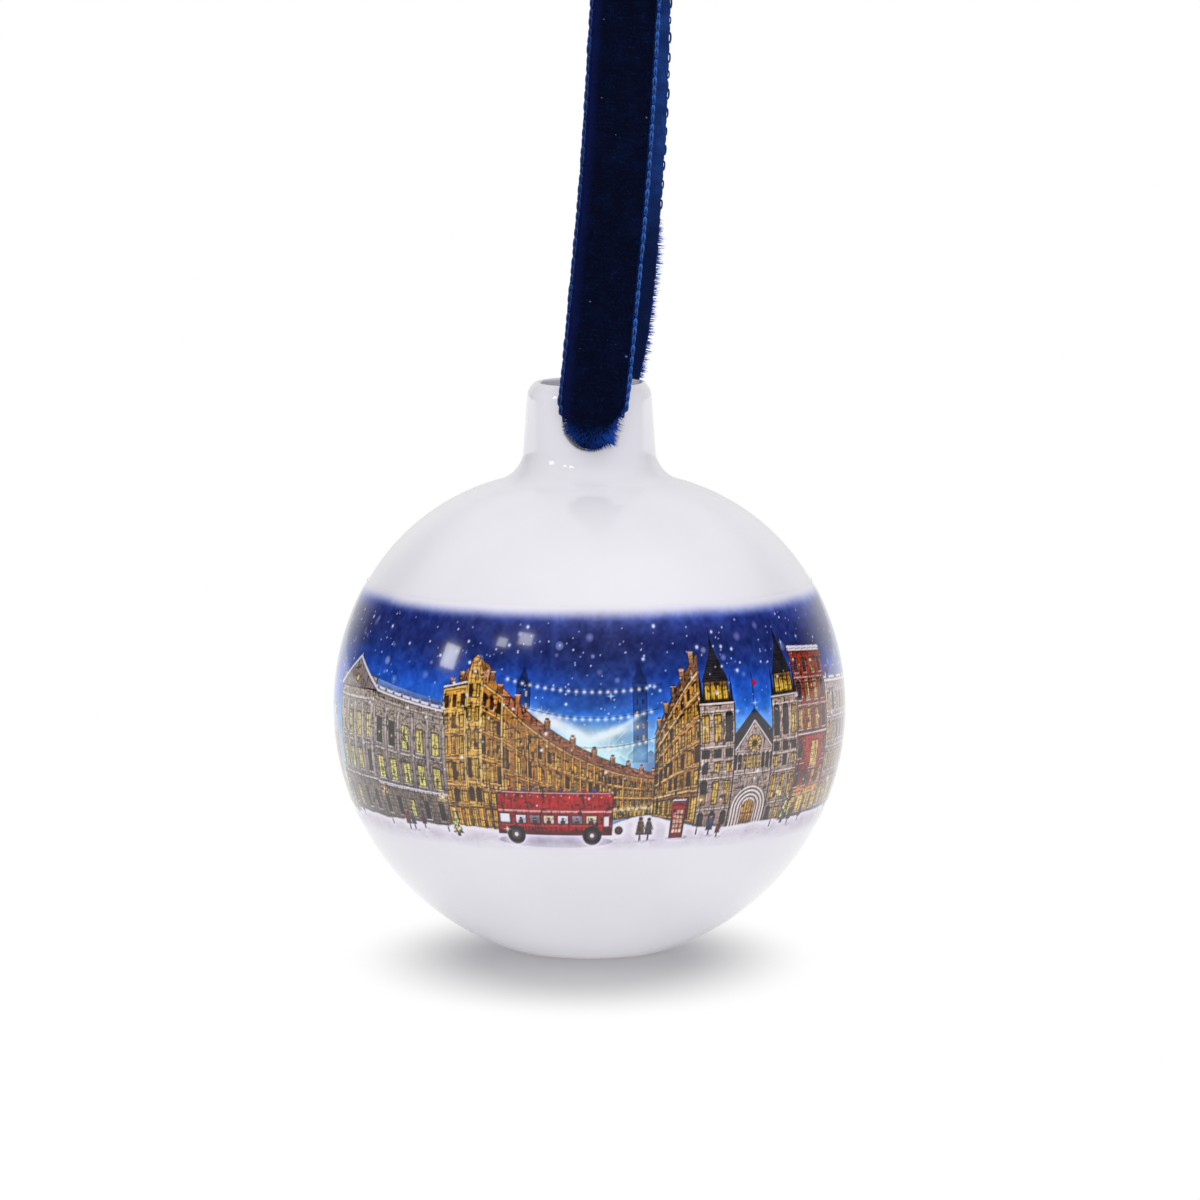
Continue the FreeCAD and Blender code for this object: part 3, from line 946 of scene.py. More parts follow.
def paint_lights_over_street(art):
    """Light hung between the fronts: broad soft wings of light, and strings of small lamps."""
    part, u, z = art.window([(-11, -7), (11, 7)])
    for u0, z0, reach, rise, tilt, strength, tint in (
        (0.6, -1.4, 7.5, 3.6, -0.1, 0.75, "82d4ce"), (-5.2, 2.6, 4, 1.3, -0.3, 0.95, "f6eea0"),
        (-1.6, 0.8, 3.8, 1.2, -0.25, 0.9, "ceecb8"), (2.8, 1, 4.6, 1, 0.3, 0.9, "e2ecb2"),
        (2.4, -2.6, 5.4, 1.8, 0.1, 0.8, "96e2d6"), (5.6, 2.6, 2.4, 0.6, 0.55, 0.6, "cee2ce"),
    ):
        level = z - z0 - tilt * (u - u0)
        art.lighten(part, np.exp(-1.6 * (((u - u0) / reach) ** 2 + (level / rise) ** 2)) * strength, tint)
    for u, z, reach in ((-3.6, -0.2, 3.2), (2.6, -1.1, 3.8), (-6.6, 2.9, 2.2)):
        for ray in range(9):
            angle = math.radians(-70 + ray * 40 + art.draw(-6, 6))
            tip = (u + reach * math.cos(angle), z + reach * 0.75 * math.sin(angle))
            art.line([(u, z), tip], 0.1, "e2f4ec", 0.28)
        paint_sparkle(art, u, z, 0.9, 0.8, "f6fae2")
    for left, right, high, low, sag in (
        (-12.2, 9.4, 5.4, 4.2, 1.7), (-12.4, 10, 8.4, 7.4, 1.2), (-8.6, 9.3, 0.6, 0.4, 1.4)
    ):
        stops = Front(left, right, (0, 0), (high, low), bow=-sag).course(1, 21)
        art.line(stops, 0.07, "121a3a", 0.8)
        for number, (u, z) in enumerate(stops[1:-1]):
            art.disc(u, z - 0.16, 0.11, ("fff6d6", "ffdc96")[number % 2])
            art.glow(u, z - 0.16, 0.42, "ffe8b4", 0.6)


def paint_pilaster(art, face, s, half, top, tint, foot, folds, pen):
    """A flat column on a front, from its ledge up, with a pen line down each fold."""
    art.area(face.panel(s, half, *top), tint, foot=foot)
    for fold in folds:
        art.line(face.upright(s + fold * half, *top), *pen)


def paint_stone_hall(art):
    """A long grey classical building with a plain gabled pavilion."""
    base = GROUND + 0.4
    wing = Front(-34.2, -20.7, (base, base - 0.2), (5.2, 3.4))
    art.area([(-34.2, 5.2), (-20.7, 3.4), (-20.9, 4.5), (-33.8, 6.4)], "708ec8", foot="425c96")
    storeys = [(0.33, 0.5, 0.46), (0.6, 0.79, 0.46), (0.06, 0.2, 0.3, {"lit": 0.1})]
    courses = [(0.985, 0.34, "c4c0ca"), (0.93, 0.16, "b0a6a4"), (0.88, 0.12, "968c8c"),
               (0.56, 0.16, "b0a8a8"), (0.28, 0.22, "b8b0b0")]
    paint_front(art, wing, "9e9282", "685c52", storeys, 5, STONE, courses, 420)
    for bay in range(6):
        paint_pilaster(art, wing, bay / 5, 0.02, (0.29, 0.88), "a69a96", "786e70", (-1, 1), (0.06, INK, 0.7))
    for bay in range(5):
        for low in (0.52, 0.81):
            ends = [wing.at((bay + s) / 5, low + rise) for s, rise in ((0.24, 0), (0.5, 0.035), (0.76, 0))]
            art.line(ends, 0.1, INK, 0.8)
        for low in (0.4, 0.68):
            u, z = wing.at((bay + 0.5) / 5, low)
            art.disc(u, z, 0.3, "2c5432", 0.9)
            art.disc(u, z, 0.15, "ecdc82")
            art.disc(u, z - 0.22, 0.09, "aa2828")
    pavilion = Front(-45, -34.2, (base + 0.3, base), (6.2, 6.6))
    storeys = [(0.33, 0.48, 0.42), (0.57, 0.74, 0.42), (0.06, 0.2, 0.3, {"lit": 0.1})]
    courses = [(0.84, 0.3, "beb6b4"), (0.53, 0.14, "aca4a4"), (0.28, 0.22, "b8b0b0")]
    paint_front(art, pavilion, "a69a8a", "6c6058", storeys, 4, STONE, courses, 380)
    for column in range(5):
        paint_pilaster(
            art, pavilion, 0.06 + 0.22 * column, 0.025, (0.3, 0.81), "c8bcb4", "948a88", (-1, 0, 1),
            (0.05, INK, 0.6),
        )
    gable = [(-45.3, 4.4), (-33.9, 4.8), (-39.6, 8.6)]
    art.area(gable, "aca098", foot="807470")
    art.line(gable, 0.2, INK, 0.9, closed=True)
    art.disc(-39.6, 5.9, 0.62, "685e5e")
    art.disc(-39.6, 5.9, 0.42, "ceba78")
    for row in range(7):
        z = base + 0.35 + row * 0.52
        art.line([(-44.8, z + 0.25), (-20.8, z - 0.1)], 0.06, INK, 0.55)
        for _ in range(26):
            u = art.draw(-44.6, -21)
            art.line([(u, z), (u, z + 0.45)], 0.05, INK, 0.5)
    for ledge, depth in (([(-45.4, 4.6), (-39.6, 8.8), (-33.8, 5)], 0.4), (wing.course(1.01, 8), 0.36),
                         (wing.course(0.29, 8), 0.16)):
        paint_snow_cap(art, ledge, depth)
    for u, z in (wing.at(s, 1) for s in np.linspace(0.05, 0.95, 8)):
        art.box(u - 0.2, u + 0.2, z, z + 0.5, "aaa6b0", foot="70686e")


def paint_golden_corner(art):
    """A lit corner block with a turret, in front of the terrace that runs away from it."""
    base = GROUND + 0.6
    art.area([(-20.6, 5.4), (-18.9, 6.2), (-17.4, 9), (-15.6, 10.4), (-14.2, 9.6), (-12.9, 7.4), (-12.2, 5.6),
              (-12.2, 2), (-20.6, 2)], "96683a", foot="c4904c")
    left = Front(-20.9, -17.2, (base + 0.1, base - 0.15), (6.2, 7))
    middle = Front(-17.2, -15, (base - 0.15, base - 0.2), (8.3, 8.4))
    right = Front(-15, -11.8, (base - 0.2, base + 0.1), (7.4, 5.6))
    storeys = [(0.02, 0.15, 0.62, {"lit": 0.9}), (0.19, 0.27, 0.66, {"arch": 1}), (0.345, 0.47, 0.46),
               (0.53, 0.655, 0.46), (0.71, 0.8, 0.46), (0.86, 0.94, 0.4, {"lit": 0.4})]
    courses = [(0.99, 0.26, "fad68c"), (0.83, 0.2, "f6ce80"), (0.685, 0.12, "e2b468"),
               (0.5, 0.12, "e2b468"), (0.315, 0.24, "f6d082")]
    for face, bays, wall in ((left, 3, "d8a452"), (right, 3, "b47e3c"), (middle, 2, "f0c066")):
        paint_front(art, face, wall, rgb(wall, 0.62), storeys, bays, GOLD, courses, 80)
        for s in (0.03, 0.97):
            art.line(face.upright(s, 0.3, 0.98), 0.22, "fcd88e", 0.9)
            art.line(face.upright(s - 0.04, 0.3, 0.98), 0.05, INK, 0.7)
    turret = [(-17.3, 8.2), (-16.8, 10.4), (-16.1, 11), (-15.5, 10.4), (-14.9, 8.3)]
    art.area(turret, "ce9e5c", foot="e8b86e")
    art.line(turret, 0.1)
    for u in (-16.7, -16.1, -15.5):
        art.line([(u, 8.4), (u, 10.3)], 0.07, INK, 0.7)
    for u, z in ((-19.6, 6.4), (-18.2, 7.3), (-13.6, 7.6), (-12.3, 6)):
        paint_chimney(art, u, z, 0.75, 1.2, "9c6a3e")
    paint_snow_cap(art, [(-20.9, 6.4), (-17.3, 7.3)], 0.2)
    art.glow(-18.4, 2.6, 3.4, "ffbe5a", 0.35)
    art.glow(-14, -3.5, 3.6, "ffb054", 0.28)


def paint_terrace(art):
    """A long curved row of fronts with shops under them, a tiled roof and small dormers."""
    base = GROUND + 0.7
    face = Front(-12.2, 9.4, (base, base + 2.3), (5.2, -5.4), crowd=1.9, bow=-2.2)
    roof = face.course(1, 16)
    ridge = [(u, z + 1.9 - 1.1 * i / 16) for i, (u, z) in enumerate(roof)]
    art.area(roof + ridge[::-1], "b07654", foot="784a36")
    art.line(ridge, 0.12, "603628", 0.9)
    storeys = [
        (0.02, 0.16, 0.7, {"arch": 1, "lit": 0.95}), (0.26, 0.42, 0.44), (0.5, 0.66, 0.44), (0.74, 0.87, 0.42)
    ]
    courses = [(0.985, 0.2, "f0c882"), (0.705, 0.1, "cea464"), (0.46, 0.1, "cea464"),
               (0.22, 0.16, "ecc47c")]
    paint_front(art, face, "a87a3e", "7a5028", storeys, 23, GOLD, courses, 260)
    for s in np.linspace(0.02, 0.98, 24):
        art.line(face.upright(s, 0.23, 0.97), 0.09, "e8be76", 0.7)
        art.line(face.upright(s + 0.006, 0.23, 0.97), 0.05, INK, 0.55)
    for i in range(1, 16, 2):
        u, z = ridge[i]
        paint_chimney(art, u, z - 0.25, 0.75 - 0.02 * i, 1.25 - 0.04 * i, "be8254")
        z = roof[i][1]
        art.area([(u + 0.6, z + 0.25), (u + 1.1, z + 0.15), (u + 0.85, z + 0.8)], "543028")
    for i, ((u0, z0), (u1, z1)) in enumerate(zip(ridge, ridge[1:])):
        for tile in range(9):
            share, fall = art.random.random(), art.draw(0, 1.4 - 0.05 * i)
            u, z = u0 + (u1 - u0) * share, z0 + (z1 - z0) * share - fall
            art.line([(u, z), (u + 0.3, z - 0.12)], 0.06, "e2aa78" if tile % 3 else "5a3226", 0.7)
    for u, z in (face.at(s, 0.2) for s in np.linspace(0.05, 0.97, 15)):
        art.disc(u, z, 0.1, "fff6ce")
        art.glow(u, z, 0.75, "ffe296", 0.7)


def paint_cream_block(art):
    """A tall block on the corner opposite, with gabled dormers."""
    base = GROUND + 0.5
    face = Front(8.9, 15.4, (base + 2.2, base + 0.6), (-0.3, 9), crowd=0.66, bow=0.9)
    roof = face.course(1, 10)
    back = [(u + 0.1, z + 1.3 + 0.08 * i) for i, (u, z) in enumerate(roof)]
    art.area(roof + back[::-1], "7a583c", foot="5a3e2e")
    art.line(back, 0.12, "3c2822")
    storeys = [(0.03, 0.19, 0.66, {"lit": 0.85}), (0.27, 0.37, 0.5), (0.42, 0.53, 0.5), (0.58, 0.68, 0.5),
               (0.73, 0.83, 0.46), (0.88, 0.945, 0.36, {"lit": 0.4})]
    courses = [(0.985, 0.26, "ecd09e"), (0.86, 0.2, "e6c892"), (0.56, 0.1, "ceae7a"),
               (0.4, 0.1, "ceae7a"), (0.235, 0.26, "eed2a0")]
    paint_front(art, face, "ba8a48", "865e32", storeys, 8, CREAM, courses, 150)
    for i in range(1, 10, 2):
        u, z = back[i]
        paint_chimney(art, u, z - 0.3, 0.55 + 0.02 * i, 1 + 0.05 * i, "a6805c")
        z = roof[i][1]
        dormer = [(u - 0.6, z + 0.1), (u - 0.2, z + 1.2), (u + 0.2, z + 0.3)]
        art.area(dormer, "96704c")
        art.line(dormer, 0.07)


def paint_spired_hall(art):
    """A pale hall between two square towers with dark pointed roofs."""
    base, middle = GROUND + 0.5, 24
    hall = Front(20.4, 27.6, (base - 0.3, base), (-2.2, -2.2))
    paint_front(art, hall, "aa998f", "86766e", [(0.76, 0.93, 0.66)], 9, CHURCH,
                [(0.99, 0.16, "ded0c6"), (0.7, 0.14, "d6c8c0")], 150)
    art.area([(20.3, -2.2), (27.7, -2.2), (27.7, -0.2), (middle, 3.4), (20.3, -0.2)], "262430")
    gable = [(20.6, -2.3), (middle, 1.7), (27.4, -2.3)]
    art.area(gable, "b2a197", foot="988880")
    art.line(gable, 0.2, "e2d6d2", 0.95)
    art.line([(u, z - 0.22) for u, z in gable], 0.08, INK, 0.85)
    for radius, tone in ((1.3, "786864"), (1.1, "ceac60"), (0.5, "5c4a3c")):
        art.disc(middle, -1.4, radius, tone)
    for angle in np.radians(range(0, 180, 30)):
        du, dz = 1.1 * math.cos(angle), 1.1 * math.sin(angle)
        art.line([(middle - du, -1.4 - dz), (middle + du, -1.4 + dz)], 0.1, INK, 0.85)
    for number, radius in enumerate((3, 2.75, 2.5, 2.2, 1.95, 1.65, 1.4)):
        tone = ("d4c6c0", "766868")[number % 2]
        art.disc(middle, base + 2.5, radius, tone)
        art.box(middle - radius, middle + radius, base - 0.2, base + 2.5, tone)
    left, right = middle - 1.15, middle + 1.15
    art.disc(middle, base + 2.5, 1.15, "b08a54")
    art.box(left, right, base - 0.2, base + 2.5, "d6a454", foot="785434")
    for u in np.linspace(left, right, 6):
        art.line([(u, base), (u, base + 3.3)], 0.1, INK, 0.85)
    art.line([(left, base + 1.7), (right, base + 1.7)], 0.12, INK, 0.85)
    paint_spired_tower(art, 15.2, 20.7, base, 4.6)
    paint_spired_tower(art, 27.2, 32.6, base, 4.8)
    art.line([(middle, 3.2), (middle, 8)], 0.12, "161622")
    art.area([(middle + 0.05, 7.4), (middle + 0.9, 6.6), (middle + 0.05, 6.2)], "ac222c")


def paint_spired_tower(art, left, right, base, top):
    tower = Front(left, right, (base - 0.2, base), (top, top))
    pale = "d6c8c0"
    storeys = [(0.03, 0.12, 0.5, {"lit": 0.3}), (0.2, 0.38, 0.5), (0.45, 0.53, 0.44, {"arch": 0}),
               (0.57, 0.63, 0.6, {"arch": 0, "lit": 0.2}), (0.69, 0.9, 0.6, {"lit": 0.4})]
    courses = [(0.99, 0.26, "e2d4cc"), (0.93, 0.16, pale), (0.655, 0.16, pale), (0.55, 0.12, "ccbeb6"),
               (0.41, 0.16, pale), (0.165, 0.14, "cec0b8")]
    paint_front(art, tower, "ac998d", "84726a", storeys, 3, CHURCH, courses, 150)
    for s in (0.02, 0.14, 0.86, 0.98):
        art.line(tower.upright(s, 0, 0.98), 0.09, INK, 0.75)
    drum = [(left + 0.7, top), (right - 0.7, top), (right - 0.95, top + 2.9), (left + 0.95, top + 2.9)]
    art.area(drum, "806032", foot="423228")
    for share in (0.14, 0.38, 0.62, 0.86):
        u = left + 0.8 + (right - left - 1.6) * share
        art.box(u - 0.3, u + 0.3, top + 0.4, top + 1.9, "f4c448")
        art.disc(u, top + 1.9, 0.3, "f0ba42")
        art.line([(u, top + 0.4), (u, top + 2.1)], 0.08, INK, 0.8)
        art.line([(u - 0.36, top), (u - 0.36, top + 2.6)], 0.14, INK, 0.9)
        art.glow(u, top + 1, 0.8, "ffc854", 0.45)
    art.line(drum, 0.16, INK, 0.9, closed=True)
    for u in (left + 0.4, right - 0.4):
        art.area([(u - 0.3, top - 0.1), (u + 0.3, top - 0.1), (u + 0.16, top + 2.4), (u, top + 3.6),
                  (u - 0.16, top + 2.4)], "221e24")
    centre, eaves = (left + right) / 2, top + 2.7
    art.area([(left + 0.6, eaves), (right - 0.6, eaves), (centre + 0.42, eaves + 4), (centre, eaves + 6.2),
              (centre - 0.42, eaves + 4)], "14141c", foot="201e22")
    art.line([(centre, eaves + 5.4), (centre, eaves + 7)], 0.1, "12121a")
    for z in np.arange(0.3, 4.6, 0.32):
        half = (right - left - 1.2) / 2 * (1 - z / 5.6)
        art.line([(centre - half, eaves + z), (centre + half, eaves + z)], 0.05, "504c5a", 0.5)


def paint_brick_block(art):
    """A tall red block with a shop, and a lower pale row beside it."""
    base = GROUND + 0.2
    face = Front(32.2, 40.6, (base + 0.2, base + 0.6), (10.6, 9.9))
    storeys = [(0.03, 0.13, 0.72, {"lit": 0.9, "arch": 1}), (0.19, 0.29, 0.4), (0.36, 0.46, 0.4),
               (0.53, 0.65, 0.42, {"arch": 1}), (0.7, 0.8, 0.42, {"arch": 1}), (0.86, 0.94, 0.34)]
    courses = [(0.99, 0.3, "e2d8dc"), (0.83, 0.14, "cebeb8"), (0.67, 0.12, "cebeb8"),
               (0.5, 0.22, "dcd0ce"), (0.325, 0.1, "c4b0aa"), (0.155, 0.26, "784228")]
    paint_front(art, face, "9a3c28", "6c2e22", storeys, 4, BRICK, courses, 130)
    for row in np.arange(0.2, 0.97, 0.016):
        art.line(face.course(row, 6), 0.045, "cea08c", 0.25)
    paint_snow_cap(art, face.course(1.005, 6), 0.34)
    face = Front(40.6, 53, (base + 0.6, base + 0.9), (5.6, 4.6))
    storeys = [(0.04, 0.2, 0.62, {"lit": 0.9}), (0.3, 0.44, 0.42), (0.53, 0.67, 0.42), (0.76, 0.89, 0.4)]
    courses = [(0.985, 0.28, "d6ced2"), (0.71, 0.12, "c8bebc"), (0.48, 0.12, "c8bebc"),
               (0.245, 0.2, "a03632")]
    paint_front(art, face, "b09e98", "7e6c68", storeys, 7, BRICK, courses, 170)
    paint_snow_cap(art, face.course(1.01, 8), 0.34)
    for u in (42, 45.4, 49.2, 52.2):
        paint_chimney(art, u, 5.6 - (u - 41) * 0.08, 0.9, 1.7, "965440")
    shop = Front(34.6, 39.4, (-6.4, -6.4), (-1.6, -1.6))
    art.area(shop.outline(), "b0342c", foot="842826")
    paint_opening(art, shop, 0.5, 0.2, 0.1, 0.86, dict(BRICK, lit=1))
    for u, z in ((34.4, -9.2), (36.6, -9.4), (38.8, -9.2)):
        art.glow(u, z, 1.5, "ffb054", 0.8)


def paint_townhouses(art, start, end, height):
    """A row of narrow houses with steep snowy roofs."""
    u, number = start, 0
    while u < end - 2:
        width = min(art.draw(4.2, 6), end - u)
        top, base = height + art.draw(-1.4, 1.6), GROUND + 0.3
        storeys = [(0.03, 0.22, 0.34, {"lit": 0.9}), (0.34, 0.5, 0.46), (0.6, 0.76, 0.46)]
        courses = [(0.985, 0.24, "e2dce0"), (0.28, 0.18, "d6ccc8")]
        face = Front(u, u + width, (base, base), (top, top))
        paint_front(art, face, *HOUSE_WALLS[number % len(HOUSE_WALLS)], storeys, 3, BRICK, courses, 60)
        middle, ridge = u + width / 2, top + 3.2
        left, right = middle - width * 0.22, middle + width * 0.22
        roof = [(u - 0.1, top), (u + width + 0.1, top), (right, ridge), (left, ridge)]
        art.area(roof, "ced2e4", foot="969cba")
        art.line(roof, 0.1, INK, 0.8, closed=True)
        sill, head, x0, x1 = top + 0.5, top + 1.7, middle - 0.55, middle + 0.55
        art.box(x0, x1, sill, head, "f6ce78")
        art.line([(x0, sill), (x0, head), (middle, top + 2.3), (x1, head), (x1, sill)], 0.1)
        paint_chimney(art, middle + width * 0.26, top + 2.2, 0.9, 1.9, "80543a")
        paint_snow_cap(art, [(left, ridge), (right, ridge)], 0.3)
        u, number = u + width, number + 1


def paint_steeple(art, u):
    """A small church: its nave, and a tower with a tall pointed roof."""
    base, trim = GROUND + 0.3, "cec4c0"
    nave = Front(u + 2, u + 9, (base, base), (-3.4, -3.4))
    courses = [(0.97, 0.2, "dcd6dc")]
    paint_front(art, nave, "b0a6a0", "807674", [(0.2, 0.66, 0.42)], 5, CHURCH, courses, 60)
    roof = [(u + 1.8, -3.4), (u + 9.2, -3.4), (u + 8.6, 0.6), (u + 2, 0.6)]
    art.area(roof, "d6daec", foot="a0a8c6")
    art.line(roof, 0.1, INK, 0.8, closed=True)
    tower = Front(u - 2, u + 2, (base, base), (2.6, 2.6))
    storeys = [(0.04, 0.2, 0.34, {"lit": 1}), (0.42, 0.6, 0.3), (0.72, 0.92, 0.4)]
    courses = [(0.99, 0.24, "dcd6da"), (0.66, 0.14, trim), (0.34, 0.14, trim)]
    paint_front(art, tower, "bcb2aa", "887e7a", storeys, 2, CHURCH, courses, 60)
    spire = [(u - 2, 2.7), (u, 12.6), (u + 2, 2.7)]
    art.area(spire, "3a4256", foot="4c5468")
    art.line(spire, 0.12)
    paint_snow_cap(art, [(u - 2, 2.8), (u - 0.2, 11.6)], 0.22)


def paint_bridge(art, start, end):
    """A plain stone footbridge of low arches over a frozen stream."""
    art.box(start, end, GROUND - 0.2, GROUND + 2.6, "7ea0c4", foot="baccde")
    deck = Front(start, end, (GROUND + 2, GROUND + 2), (GROUND + 5, GROUND + 5), bow=1.6)
    art.area(deck.outline(24), "a89e9c", foot="70686c")
    for share in (0.125, 0.375, 0.625, 0.875):
        u, squash = start + (end - start) * share, (1.5 + 0.8 * math.sin(math.pi * share)) / 1.6
        art.disc(u, GROUND + 1, 2.2, "706668", squash=squash)
        art.disc(u, GROUND + 1, 1.9, "406296", squash=squash)
        art.box(u - 2.2, u + 2.2, GROUND - 0.4, GROUND + 1, "96b4d0", foot="d6deec")
    art.line(deck.course(0.72, 24), 0.1, INK, 0.7)
    for s in np.linspace(0.01, 0.99, 34):
        art.line(deck.upright(s, 0.72, 1), 0.06, INK, 0.6)
    paint_snow_cap(art, deck.course(1, 24), 0.3)


def paint_bus(art):
    """A red open-topped bus seen from the side, without lettering."""
    left, right, floor, top = -13.2, 3.2, -13, -7
    red, dark, frame = "aa141c", "600c14", "2e0e14"
    art.disc(-5, floor - 0.95, 8.4, "9690a6", 0.5, 0.11, soft=0.5)
    body = [(left, floor), (right, floor), (right + 0.1, top - 0.5), (right - 0.3, top), (left + 1.2, top),
            (left + 0.3, top - 0.5)]
    art.area(body, red, foot="8e101a")
    art.area([(left, floor), (right, floor), (right, floor + 0.6), (left, floor + 0.55)], dark, 0.8)
    for z, width, tint in ((-9.75, 0.3, "e8c4b8"), (-7.12, 0.22, "ecd8da"), (-11.75, 0.1, "e0746a")):
        art.line([(left + 0.3, z), (right, z + 0.04)], width, tint, 0.8)
    for number in range(6):
        u = left + 2.2 + number * 2.25
        art.line([(u, -9.5), (u, top - 0.3)], 0.08, frame, 0.55)
    for number in range(44):
        u, z = art.draw(left + 0.4, right - 0.4), art.draw(floor + 0.4, top - 0.4)
        art.line([(u, z), (u + art.draw(0.15, 0.6), z)], 0.07, (dark, frame, "e25a54")[number % 3], 0.55)
    for number in range(6):
        u = left + 2.7 + number * 2
        glass = ("c4c0ca", "7a707c", "deceb8")[number % 3]
        art.box(u, u + 1.65, -11.55, -10.2, frame)
        art.box(u + 0.12, u + 1.53, -11.43, -10.32, glass, foot=rgb(glass, 0.7))
        paint_rider(art, u + 0.8, -11.35, "462c36")
    for u0, u1, z0, z1, tint in (
        (left + 0.35, left + 2, -11.55, -10.1, frame), (left + 0.47, left + 1.88, -11.43, -10.22, "e4e2ec"),
        (right - 1.3, right - 0.3, -12.7, -10.2, "54141e"),
        (right - 1.15, right - 0.42, -11.8, -10.4, "cebaba"),
    ):
        art.box(u0, u1, z0, z1, tint)
    art.line(body, 0.14, "2e0c14", 0.9, closed=True)
    for u in (-10.6, 0.4):
        for radius, tint in ((1.35, "1a1418"), (0.7, "463a42"), (0.3, "baaeb2")):
            art.disc(u, floor - 0.1, radius, tint)
    for number in range(8):
        u = left + 2 + number * 1.75
        paint_rider(art, u + art.draw(-0.4, 0.4), top + 0.05, COATS[number % len(COATS)])
    for u in np.linspace(left + 0.6, right - 0.4, 15):
        art.disc(u, top - 0.6 + 0.12 * math.sin(u * 3), 0.09, "ffe8be")
    paint_sparkle(art, left + 1.3, -12.4, 0.9, 0.9, "fff0d6")
    art.disc(right + 1, -12.4, 0.6, "284a2a")
    art.disc(right + 1, -12.4, 0.3, "b03830")


def paint_rider(art, u, deck, coat):
    art.disc(u, deck + 0.12, 0.34, coat, squash=0.9)
    art.disc(u, deck + 0.52, 0.19, "846258")
    art.disc(u, deck + 0.62, 0.19, rgb(coat, 0.6), squash=0.7)


def paint_kiosk(art):
    """A small red glazed booth with a plain roof."""
    left, right, base, top = 11.7, 13.7, GROUND - 0.5, GROUND + 4.1
    art.disc(12.9, base, 1.7, "a096b0", 0.5, 0.2, soft=0.3)
    art.box(left, right, base, top, "a6262a", foot="801c22")
    art.area(
        [(left - 0.12, top), (right + 0.12, top), (right - 0.2, top + 0.6), (left + 0.2, top + 0.6)], "8e2026"
    )
    for row in range(5):
        for column in range(3):
            u, z = left + 0.3 + column * 0.5, base + 0.75 + row * 0.66
            art.box(u, u + 0.4, z, z + 0.52, ("ecceaa", "c4968c")[(row + column) % 2])
    art.line([(left, base), (left, top), (right, top), (right, base)], 0.1, "3c0e14", 0.9, closed=True)
    paint_snow_cap(art, [(left + 0.1, top + 0.68), (right - 0.1, top + 0.68)], 0.18)


def paint_ground(art):
    """Trodden snow below the fronts: its far edge is uneven, with blue shade and tracks on it."""
    part, u, z = art.window([(-art.around, art.low), (art.around, GROUND + 4)])
    lumps = art.cloud(3)[0] * 0.35 + art.cloud(0.9)[1] * 0.16
    depth = GROUND + 0.55 + lumps[None, :] + 2.1 * np.exp(-(((u - 7.8) / 5) ** 2)) - z
    art.lay(part, depth / 0.22, "e0dbe2")
    shade = art.cloud(4, 0.3)[part] * np.clip(depth / 0.4, 0, 1)
    art.lay(part, shade * 1.6 - 0.6, "bcb4c6", 0.5)
    for _ in range(420):
        u = art.draw(-art.around / 2, art.around / 2)
        z = art.draw(art.low + 0.3, GROUND + 0.1)
        dash = art.draw(0.1, 0.6)
        art.line([(u, z), (u + dash, z + art.random.normal(0, 0.03))], 0.06, "aaa0b6", 0.3)


def paint_snowfall(art):
    """Flakes of many sizes, soft out-of-focus lights, and a few sparkles."""
    half, draw = art.around / 2, art.draw
    for _ in range(90):
        u, z, radius = draw(-half, half), draw(6, 14.6), draw(0.25, 0.62)
        tint = ("d6bea0", "c8cee2", "c4aabe")[art.random.integers(3)]
        art.disc(u, z, radius, tint, draw(0.12, 0.34), soft=0.18)
        art.disc(u, z, radius * 0.5, tint, 0.15, soft=0.2)
    for _ in range(1250):
        u, z = draw(-half, half), draw(-9, 15.4)
        if z < 2 and art.random.random() < 0.62:
            continue
        radius = min(0.06 + art.random.exponential(0.04), 0.2)
        art.disc(u, z, radius, "eef2fa", draw(0.5, 0.95), soft=0.09)
        if radius > 0.14:
            art.glow(u, z, radius * 2.2, "c4d4fa", 0.5)
    for _ in range(34):
        paint_sparkle(art, draw(-half, half), draw(-6, 12), draw(0.35, 0.8), 0.6, "ecf4ff")


def paint_town(settings):
    """The whole winter street, from the sky forwards, as a flat print."""
    art = Print(settings)
    for paint in (paint_sky, paint_distance, paint_lights_over_street, paint_terrace, paint_golden_corner,
                  paint_cream_block, paint_stone_hall, paint_brick_block, paint_spired_hall):
        paint(art)
    paint_townhouses(art, 55.5, 83, -2.4)
    paint_townhouses(art, -66, -47.5, -1.6)
    paint_steeple(art, -75.5)
    paint_bridge(art, -106, -84)
    paint_ground(art)
    for u, foot, tall in TREES:
        paint_tree(art, u, foot, tall, "3a5838" if tall > 3.5 else "808e56")
    for u in LAMP_POSTS:
        paint_lamp_post(art, u, GROUND - 0.2, 4.6)
    paint_bus(art)
    paint_kiosk(art)
    for number, (u, foot, tall) in enumerate(WALKERS):
        paint_figure(art, u, foot, tall * 1.3, COATS[(number * 5 + 1) % len(COATS)])
    paint_snowfall(art)
    finish_print(art)
    return art


